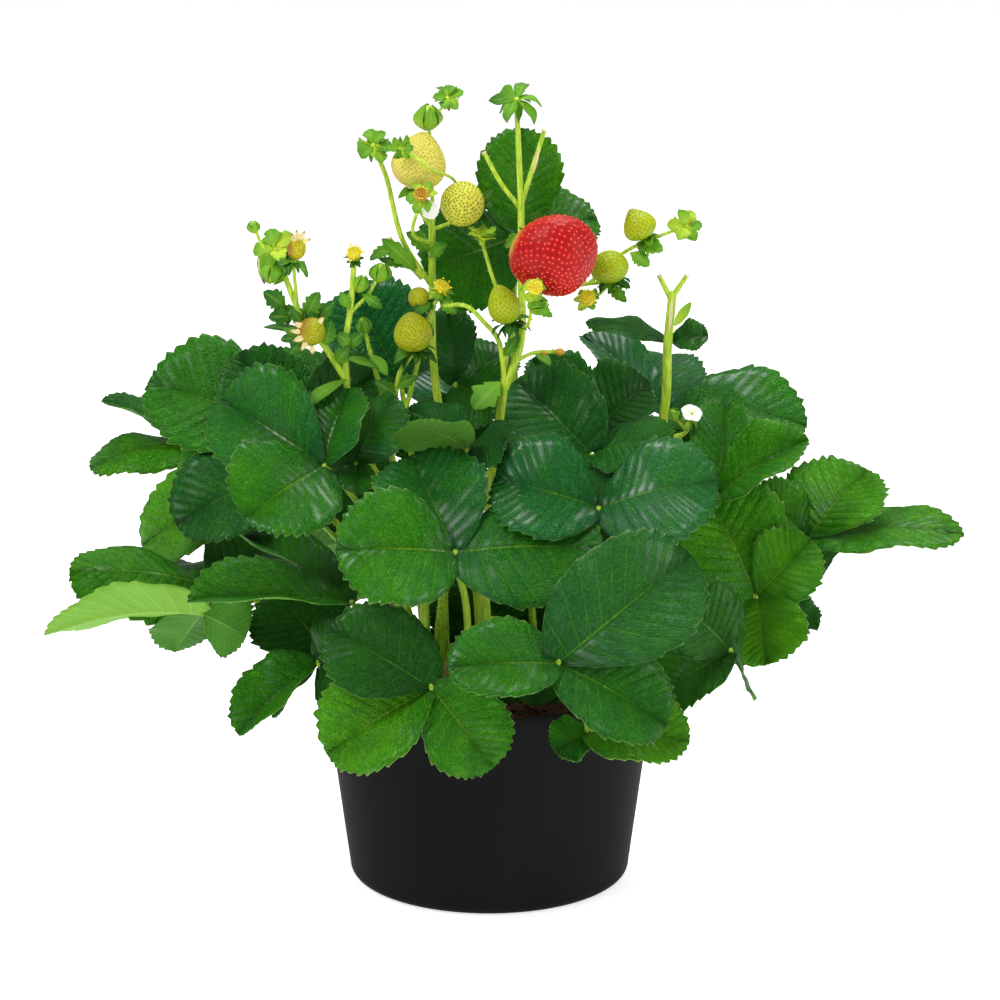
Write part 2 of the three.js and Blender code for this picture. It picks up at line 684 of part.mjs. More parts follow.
// Trusses: stalks as [diameter, sides, points], sepal stars as [centre, axis, radius, droop],
// bracts as [base, tip, facing, width] and green buds as [centre end, far end, width]
const TRUSSES = {
  truss_left: {
    foot: [-31, -21],
    stalks: [
      [4.2, 6, [[-31, -21, 78], [-31, -21, 94], [-30, -23, 150], [-60, -14, 209], [-62, -18, 231]]],
      [3, 5, [[-62, -18, 230], [-70, -20, 244], [-82, -18, 261], [-91, -15, 284]]],
      [2, 4, [[-76, -19, 251], [-80, -21, 255]]],
      [3, 5, [[-62, -18, 230], [-62, -20, 248], [-60, -18, 261], [-58, -16, 283]]],
      [1.8, 3, [[-60, -18, 260], [-52, -15, 268], [-48, -14, 275]]],
      [1.6, 3, [[-90, -15, 280], [-98, -13, 289], [-101, -12, 296]]],
      [1.8, 3, [[-83, -18, 264], [-84, -22, 282]]],
    ],
    stars: [
      [[-92, -14, 287], [-0.3, -0.75, 0.5], 11, 0.15],
    ],
    bracts: [
      [[-62, -19, 231], [-80, -30, 220], [0, -0.4, 1], 7],
      [[-75, -19, 250], [-98, -14, 253], [0, -0.5, 0.9], 5],
      [[-62, -20, 240], [-48, -16, 235], [0, -0.4, 1], 7],
      [[-82, -18, 262], [-92, -15, 256], [0, -0.8, 0.5], 9],
      [[-99, -12.5, 287], [-97, -14, 272], [-0.3, -0.9, 0.2], 4],
    ],
    buds: [
      [[-48, -14, 273], [-46, -14, 281], 7],
      [[-57, -16, 269], [-54, -17, 276], 5],
      [[-92, -15, 281], [-94, -18, 273], 8],
      [[-101, -12, 294], [-102, -12, 299], 4],
    ],
  },
  truss_middle: {
    foot: [-10, -22],
    stalks: [
      [3.6, 6, [[-10, -22, 78], [-10, -22, 94], [-12, -22, 140], [-42, -14, 193], [-43, -12, 211]]],
      [2.4, 5, [[-42, -13, 208], [-51, -10, 238], [-54, -8, 250]]],
      [2.6, 5, [[-42, -13, 208], [-39, -12, 232], [-33, -12, 241]]],
      [2.4, 5, [[-39, -12, 206], [-31, -8, 237], [-27, -6, 255], [-21, -6, 267]]],
      [1.8, 3, [[-28, -6, 250], [-31, -4, 257]]],
    ],
    stars: [],
    bracts: [
      [[-52, -10, 240], [-44, -16, 232], [0, -0.5, 0.8], 6],
    ],
    buds: [[[-54, -8, 249], [-55, -8, 256], 5]],
  },
  truss_tall: {
    foot: [-4, 12],
    stalks: [
      [4.4, 6, [
        [-4, 12, 78], [-4, 12, 94], [-8, 14, 150], [-22, 13, 210], [-25, 12, 238], [-25, 10, 275],
        [-25, 9, 297],
      ]],
      [2.4, 4, [[-26, 10, 268], [-38, 8, 288], [-45, 8, 316], [-50, 3, 329]]],
      [1.8, 3, [[-25, 9, 290], [-25, 20, 306], [-26, 20, 332], [-27, 8, 341]]],
      [4, 5, [[-29, 10, 271], [-44, 6, 288]]],
      [1.8, 3, [[-25, 9, 286], [-33, -6, 293], [-29, -15, 309]]],
      [1.8, 3, [[-25, 9, 292], [-12, 10, 297], [-6, 7, 301]]],
      [1.4, 3, [[-37, -12, 331], [-25, -13, 322], [-15, 6, 314], [-12, 12, 304], [-12, 10, 297]]],
      [2, 4, [[-25, 9, 293], [-31, 8, 302], [-32.6, 5, 310]]],
      [1.4, 3, [[-27, 8, 337], [-18, 6, 349]]],
    ],
    stars: [
      [[-50, 2, 330], [-0.3, -0.7, 0.5], 9, 0.1],
      [[-38, -12, 331], [0.2, -0.8, -0.2], 6.5, 0.1],
      [[-18, 6, 350], [0.2, -0.7, 0.6], 8, 0.1],
    ],
    bracts: [
      [[-36, 8, 280], [-46, 4, 283], [0, -0.7, 0.6], 5],
    ],
    buds: [[[-27, 8, 336], [-26, 6, 347], 9]],
  },
  truss_main: {
    foot: [0, -10],
    stalks: [
      [5.2, 6, [[0, -10, 78], [0, -10, 94], [-2, -12, 140], [2, -12, 190], [7, -10, 229]]],
      [2.4, 5, [[7, -10, 225], [4, -12, 247], [-2, -14, 255], [-10, -12, 262], [-21, -8, 261]]],
      [3.8, 6, [[7, -10, 225], [14, -8, 246], [14, -2, 272], [14, 2, 306]]],
      [2.8, 5, [[14, 2, 303], [12, 2, 348]]],
      [2.2, 4, [[14, 2, 302], [5, 1, 314], [-2, 0, 327]]],
      [2.4, 4, [[14, 2, 304], [19, 3, 320], [24, 4, 336]]],
      [2, 4, [[7, -11, 238], [9, -13, 247], [9, -16, 254]]],
      [2, 4, [[7, -9, 232], [9, -6, 255], [2, -5, 272], [-3, -4, 289]]],
      [2, 4, [[14, 0, 288], [19, -6, 294], [24, -12, 296]]],
      [1.8, 3, [[14, -6, 252], [17, -32, 258], [19, -46, 274]]],
      [2.2, 5, [[14, -3, 264], [30, 8, 266], [44, 10, 268], [53, 3, 270]]],
      [1.8, 3, [[44, 10, 268], [58, 10, 281], [68, 6, 287], [86, 7, 294]]],
      [1.6, 3, [[53, 3, 270], [49, 3, 265], [43, 0, 262]]],
      [2, 4, [[10, -9, 236], [20, 0, 239], [30, 2, 239]]],
    ],
    stars: [
      [[12, 2, 350], [0, -0.65, 0.75], 12, -0.3],
      [[-3, -4, 289], [0, -0.1, 1], 7.5, 0.6],
      [[86, 6, 294], [0.2, -0.8, 0.4], 9, 0.1],
    ],
    bracts: [
      [[5, -12, 228], [-7, -17, 217], [-0.3, -0.8, 0.5], 13],
      [[20, 1, 239], [27, -4, 234], [0, -0.3, 1], 6],
    ],
    buds: [[[17, -41, 267], [25, -46, 269], 6]],
  },
  truss_right: {
    foot: [46, 8],
    stalks: [
      [5.4, 6, [[46, 8, 78], [46, 8, 94], [64, 12, 150], [78, 14, 210], [79, 12, 240], [81, 12, 264]]],
      [2.6, 4, [[80, 12, 261], [75, 12, 271]]],
      [2.6, 4, [[81, 12, 262], [87, 12, 271]]],
      [2.2, 4, [[77, 13, 198], [86, 2, 202], [88, -8, 210]]],
      [1.6, 3, [[87, -4, 205], [82, -7, 211]]],
    ],
    stars: [[[88, -8, 211], [0.2, -0.6, 0.8], 5, -0.2]],
    bracts: [[[82, 11, 249], [89, 9, 260], [0, -1, 0.3], 4.5]],
    buds: [[[82, -6, 210], [80, -8, 215], 4]],
  },
};

function truss(name) {
  const spec = TRUSSES[name];
  const stalks = spec.stalks.map(([diameter, sides, points]) => (
    stalk(path(points), diameter, sides, Math.max(1, points.length - 1))
  ));
  const stars = spec.stars.map(([centre, axis, radius, droop]) => (
    calyx(asVector(centre), asVector(axis), radius, droop)
  ));
  for (const [on, centre, tip, , , , , , radius, droop] of Object.values(FRUITS)) {
    const axis = asVector(tip).sub(asVector(centre));
    if (on === name) stars.push(calyx(asVector(centre), axis, radius, droop));
  }
  const bracts = spec.bracts.map(([base, tip, facing, width]) => (
    bract(asVector(base), asVector(tip), asVector(facing).normalize(), width)
  ));
  const buds = spec.buds.map(([near, far, width]) => (
    fruit(asVector(near), asVector(far), width, BUD_TAPER, BUD_RINGS, BUD_SIDES, 0)
  ));
  return union([...stalks, ...stars, ...bracts, ...buds]);
}

// Fruit and flower centres as
// [truss, sepal star, tip, width, taper, rings, sides, seed relief, star radius, star droop]
const FRUITS = {
  fruit_red: ['truss_main', [24, -13, 296], [33, -39, 274], 37, 0.3, 10, 20, 0.9, 12, -0.1],
  fruit_white_large: ['truss_tall', [-32.6, 4, 310], [-27.6, 0, 336], 23, 0.3, 8, 12, 0.6, 7, -0.3],
  fruit_white_medium: ['truss_tall', [-6, 7, 302], [-17, -9, 308], 20, 0.1, 7, 12, 0.5, 12, -0.1],
  fruit_pear: ['truss_main', [9, -16, 255], [3.5, -24, 273], 13.5, 0.3, 6, 10, 0.4, 10, -0.1],
  fruit_round: ['truss_middle', [-32, -12, 242], [-34, -19, 260], 16.5, 0.25, 6, 12, 0.4, 11, -0.15],
  fruit_small_brown: ['truss_middle', [-27.5, -4, 261], [-33.5, -8, 268], 9.5, 0.1, 5, 8, 0.3, 6, -0.2],
  fruit_left_top: ['truss_left', [-84, -22, 283], [-81, -25, 294], 8, 0.1, 5, 8, 0.3, 8, -0.2],
  fruit_left_egg: ['truss_left', [-80, -22, 255], [-73, -33, 252], 12.5, 0.15, 5, 10, 0.3, 9, -0.2],
  fruit_right_round: ['truss_main', [54, 2, 270], [51, -4, 284], 17, 0.16, 6, 10, 0.4, 8, -0.2],
  fruit_right_cone: ['truss_main', [69, 6, 288], [61.5, 4, 302], 14, 0.45, 6, 10, 0.4, 7, -0.2],
  flower_left: ['truss_left', [-58, -16, 283], [-58, -20, 289], 8, 0.16, 4, 8, 0.3, 5, -0.1],
  flower_middle: ['truss_middle', [-21, -6, 267], [-20, -10, 272], 8, 0.16, 4, 8, 0.3, 6, -0.1],
  flower_tall: ['truss_tall', [-29, -15, 310], [-29, -21, 313], 8, 0.16, 4, 8, 0.3, 8, -0.1],
  flower_front: ['truss_main', [19, -47, 275], [20, -53, 278], 8, 0.16, 4, 8, 0.3, 6, -0.1],
  flower_right: ['truss_main', [43, -1, 263], [43, -7, 265], 9, 0.16, 4, 8, 0.3, 6, -0.1],
};

// A ripe fruit or a flower's centre, seated just clear of its sepals
function seated([, star, tip, width, taper, rings, sides, relief]) {
  const centre = asVector(star);
  const axis = asVector(tip).sub(centre).normalize();
  const top = centre.clone().addScaledVector(axis, SEPAL_RISE + FIT_GAP);
  return fruit(top, asVector(tip), width, taper, rings, sides, relief);
}

// The small open flower beside the cut stalk: broad white petals round its centre
function petals() {
  return star(v(88.6, -9.8, 213.4), v(0.2, -0.6, 0.8), 5, 0.15, PETALS, 0.72);
}

// The outer radius of the pot's wall at a height
const POT_TAPER = (POT_TOP_DIAMETER - POT_BASE_DIAMETER) / 2 / POT_HEIGHT;
const wallRadius = (z) => POT_BASE_DIAMETER / 2 + POT_TAPER * z;

// The rounded edge under the pot, as points on a quarter circle
function footEdge() {
  const radius = POT_FOOT_ROUND;
  const centre = wallRadius(radius) - radius;
  return [0, 0.25, 0.5, 0.75, 1].map((share) => {
    const angle = (Math.PI / 2) * share;
    return [centre + radius * Math.sin(angle), radius - radius * Math.cos(angle)];
  });
}

// An upright round tool for cutting a hole, from its foot up
function drill(x, y, z, radius, height, sides) {
  const tool = new THREE.CylinderGeometry(radius, radius, height, sides);
  tool.rotateX(Math.PI / 2);
  tool.translate(x, y, z + height / 2);
  return solid(tool);
}

function pot() {
  const rim = POT_TOP_DIAMETER / 2;
  const profile = [
    [0, 0], ...footEdge(), [rim, POT_HEIGHT], [rim - POT_WALL, POT_HEIGHT],
    [wallRadius(POT_FOOT_ROUND) - POT_WALL, POT_FOOT_ROUND],
    [POT_BASE_DIAMETER / 2 - POT_FOOT_ROUND, POT_FLOOR], [0, POT_FLOOR],
  ];
  let body = solid(turned(profile, POT_SIDES));
  for (let i = 0; i < DRAIN_HOLE_COUNT; i += 1) {
    const angle = (2 * Math.PI * i) / DRAIN_HOLE_COUNT;
    const x = (DRAIN_HOLE_CIRCLE / 2) * Math.cos(angle);
    const y = (DRAIN_HOLE_CIRCLE / 2) * Math.sin(angle);
    body = body.subtract(drill(x, y, -POT_FLOOR, DRAIN_HOLE_DIAMETER / 2, 3 * POT_FLOOR, 8));
  }
  return body;
}

const SOIL_CLODS = 1.1;
const SOIL_SIDES = 24;
const SOIL_TOP = POT_HEIGHT - SOIL_DEPTH_BELOW_RIM;
const SOIL_FLOOR = POT_FLOOR + FIT_GAP;
const FOLLOWS_FACETS = 0.4;
const HOLE_SIDES = 12;
const SMALL_HOLE_SIDES = 8;

// A heaped top with clods, and a plain hole round each crown and each flower stalk
function soil() {
  const inner = (z) => wallRadius(z) - POT_WALL - FIT_GAP - FOLLOWS_FACETS;
  const rings = [0.8, 0.55, 0.3, 0].map((share) => (
    [inner(SOIL_TOP) * share, SOIL_TOP + SOIL_MOUND * (1 - share * share)]
  ));
  const profile = [
    [0, SOIL_FLOOR], [POT_BASE_DIAMETER / 2 - POT_FOOT_ROUND - FOLLOWS_FACETS, SOIL_FLOOR],
    [inner(POT_FOOT_ROUND), POT_FOOT_ROUND], [inner(SOIL_TOP), SOIL_TOP - 1], ...rings,
  ];
  const heap = turned(profile, SOIL_SIDES);
  const corners = heap.attributes.position;
  for (let i = 0; i < corners.count; i += 1) {
    const x = corners.getX(i);
    const y = corners.getY(i);
    if (corners.getZ(i) > SOIL_TOP - 0.5 && Math.hypot(x, y) > 1) {
      const clod = SOIL_CLODS * Math.sin(x * 0.9 + 1.3) * Math.cos(y * 0.8 - 0.4);
      corners.setZ(i, corners.getZ(i) + clod);
    }
  }
  let body = solid(heap);
  const foot = CROWN_FOOT - FIT_GAP;
  for (const [x, y] of Object.values(CROWNS)) {
    body = body.subtract(drill(x, y, foot, CROWN_DIAMETER / 2 + STALK_PLAY, POT_HEIGHT, HOLE_SIDES));
  }
  for (const { foot: [x, y], stalks: [[diameter]] } of Object.values(TRUSSES)) {
    body = body.subtract(drill(x, y, foot, diameter / 2 + STALK_PLAY, POT_HEIGHT, SMALL_HOLE_SIDES));
  }
  return body;
}

// The two small leaves on the cut flower stalk; they meet behind it
function stalkLeaves() {
  const level = v(0, -0.25, 1).normalize();
  return leafSolid(v(80, 16.5, 241), [
    [v(43, 20, 249), level, 18, 0, -10, 0.09, 1],
    [v(97, 14, 244), v(0, -0.7, 0.7), 15, 0, 6, 0.05, 2],
  ]);
}

const plant = new THREE.Group();
plant.add(toMesh(pot(), 'pot', POT_BLACK, 0.55));
plant.add(toMesh(soil(), 'soil', SOIL_BROWN, 0.95));
for (const side of Object.keys(CROWNS)) {
  plant.add(toMesh(crown(side), `crown_${side}`, STALK_GREEN, 0.6));
}
for (const [name, blade] of Object.entries(BLADES)) {
  plant.add(toMesh(blade, name, LEAF_GREEN, 0.45));
}
plant.add(toMesh(stalkLeaves(), 'leaf_cut_stalk', LEAF_GREEN, 0.5));
for (const name of Object.keys(TRUSSES)) {
  plant.add(toMesh(truss(name), name, CALYX_GREEN, 0.6));
}
const fruitColour = (name) => {
  if (name === 'fruit_red') return FRUIT_RED;
  if (name.startsWith('flower')) return FLOWER_YELLOW;
  return name.startsWith('fruit_white') ? FRUIT_PALE : FRUIT_GREEN;
};
for (const [name, spec] of Object.entries(FRUITS)) {
  plant.add(toMesh(seated(spec), name, fruitColour(name), 0.45));
}
plant.add(toMesh(petals(), 'flower_petals', PETAL_WHITE, 0.6));

export default plant;
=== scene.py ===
"""A potted strawberry plant: toothed glossy leaves, hairy stalks, seeded fruit, peat and a black pot."""

import math
import random

import bmesh
import bpy
from mathutils import Matrix, Vector
from mathutils.kdtree import KDTree
from mathutils.noise import noise


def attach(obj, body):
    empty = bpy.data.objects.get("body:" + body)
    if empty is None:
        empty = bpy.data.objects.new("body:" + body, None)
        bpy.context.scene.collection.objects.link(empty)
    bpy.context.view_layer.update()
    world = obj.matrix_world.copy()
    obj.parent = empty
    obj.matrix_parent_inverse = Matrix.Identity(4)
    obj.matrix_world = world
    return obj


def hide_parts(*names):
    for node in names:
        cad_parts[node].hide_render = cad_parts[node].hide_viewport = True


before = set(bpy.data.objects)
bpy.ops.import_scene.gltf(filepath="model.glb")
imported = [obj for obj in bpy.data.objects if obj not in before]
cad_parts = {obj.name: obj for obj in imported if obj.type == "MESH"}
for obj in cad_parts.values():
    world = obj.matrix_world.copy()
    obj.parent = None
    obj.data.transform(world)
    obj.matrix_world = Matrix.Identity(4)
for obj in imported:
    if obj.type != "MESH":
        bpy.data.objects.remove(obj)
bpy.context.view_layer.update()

MM = 0.001
chance = random.Random(7)

GOLDEN_ANGLE = math.pi * (3 - math.sqrt(5))

# Pot and soil. Lengths are in millimetres up to the studio, and the angles of leaves in degrees
POT_TOP_DIAMETER = 150
POT_BASE_DIAMETER = 125
POT_HEIGHT = 94
POT_WALL = 2
POT_FLOOR = 2.6
POT_FOOT_ROUND = 5
FOOT_STEPS = 8
POT_TURNS = 128
POT_SIDE_HEIGHTS = (12, 24, 40, 56, 72, 84, 90)
POT_RIM_ROUND = ((0.05, 0.6), (0.35, 0.1), (1, 0), (1.65, 0.1), (1.95, 0.6))
DRAIN_HOLE_DIAMETER = 9
DRAIN_HOLE_COUNT = 5
DRAIN_HOLE_CIRCLE = 88
SOIL_TOP = 85
SOIL_MOUND = 4
SOIL_INSET = 0.3
SOIL_TURNS = 160
SOIL_RINGS = 40
CLODS = ((1.6, 0.16, 3), (0.9, 0.5, 9))
CRUMB_COUNT = 900
CRUMB_RADIUS = (0.5, 1.5)
CRUMB_RISE = (-0.4, 0.9)
FIT_GAP = 0.3

# A leaflet's steps, thickness and fold, and its width, which gives the size of its teeth and relief
TOOTH_STEPS = 6
ACROSS_STEPS = 14
CROWD_TO_MIDRIB = 1.35
BLADE_THICKNESS = 0.4
SEAM = 0.02
MORE_FOLD = 5
USUAL_WIDTH = 40
GIRTH = 1.05

# Its teeth, which lean to the tip, and the side veins that run out to them
TEETH = 12
TOOTH_DEPTH = 2.0
TOOTH_LEAN = 0.667
TOOTH_ROUND = 0.85
TOOTH_RUN_IN = 5
TOOTH_FORWARD = 0.55
TOOTH_OUTWARD = 0.85
TOOTH_STRAY = 0.02
VEIN_SWEEP = 2.2
VEIN_CURVE = 1.05

# Its relief: pillows between the veins, a groove along the midrib, swells, and a wavy margin
PILLOW = 0.31
PILLOW_ROUND = 0.7
RIB_GROOVE = 0.5
RIB_HALF_WIDTH = 1.3
SWELL = 1.5
WAVE_HEIGHT = 1.3
WAVE_COUNT = 3.4
SIDE_PHASE = 2
UNEVEN = 0.09

# The hub of a leaf. A leaflet with room at its side has a broad shoulder there, set back a little
HUB_RADIUS = 1.1
HUB_KNOB = 1.0
HUB_SINK = 0.6
SHOULDER_BACK = 0.07
CLOSE_LEAFLETS = 75
FAR_LEAFLETS = 150
FULL_ROOM = {1: 1.0, -1: 1.0}
SOME_ROOM = {1: 0.3, -1: 0.3}

# Half outlines, as (share from base to tip, share of the half width), without room and with it
NARROW_HALF = (
    (-0.1, 0.05), (0, 0.1), (0.06, 0.28), (0.14, 0.5), (0.25, 0.72), (0.36, 0.88), (0.48, 0.98),
    (0.58, 1), (0.7, 0.96), (0.8, 0.84), (0.88, 0.68), (0.95, 0.45), (1, 0.02),
)
BROAD_HALF = (
    (-0.1, 0.1), (-0.04, 0.36), (0.02, 0.56), (0.1, 0.76), (0.2, 0.91), (0.32, 1), (0.45, 1.03),
    (0.58, 1.01), (0.7, 0.95), (0.8, 0.83), (0.88, 0.67), (0.95, 0.44), (1, 0.02),
)

# Stalks
CROWNS = {"left": (-25, 0), "right": (25, 0)}
CROWN_DIAMETER = 26
CROWN_FOOT = 78
CROWN_TOP = 97
CROWN_TURNS = 32
PETIOLE_CIRCLE = 7
PETIOLE_ROOT = 88
PETIOLE_STEPS = 24
PETIOLE_ENDS = (3.5, 2.4)
HAIR_LENGTH = 1.5
HAIR_DIAMETER = 0.17
HAIR_ROOT = 0.44
PETIOLE_HAIRS_PER_MM = 1.4
TRUSS_HAIRS_PER_MM = 1.0
ROD_FINENESS = 2
YOUNG_STALK_ENDS = (2.6, 2)
YOUNG_STALK_STEPS = 6
TRUSS_STEPS = 8
TRUSS_TAPER = 0.72
BRANCH_TAPER = 0.8

# Flowers and fruit
SEPALS = 6
SEPAL_RISE = 1
SEPAL_THICKNESS = 0.35
STAR_KNOB = 1.5
STAR_SINK = 0.6
PETALS = 5
PETAL_REACH = 5
PETAL_LIFT = 0.75
PETAL_WIDTH = 5.4
PETAL_THICKNESS = 0.3
FLOWER_TUFTS = 70
FRUIT_FULLNESS = 0.1
FRUIT_COAT = 0.05
FRUIT_LUMP = 0.012
LUMPS_ACROSS = 2.4
SEEDED_SHARE = 0.47
SEED_STRAY = 0.5
SEED_SHAPE = (0.7, 1.1, 0.55, 1)

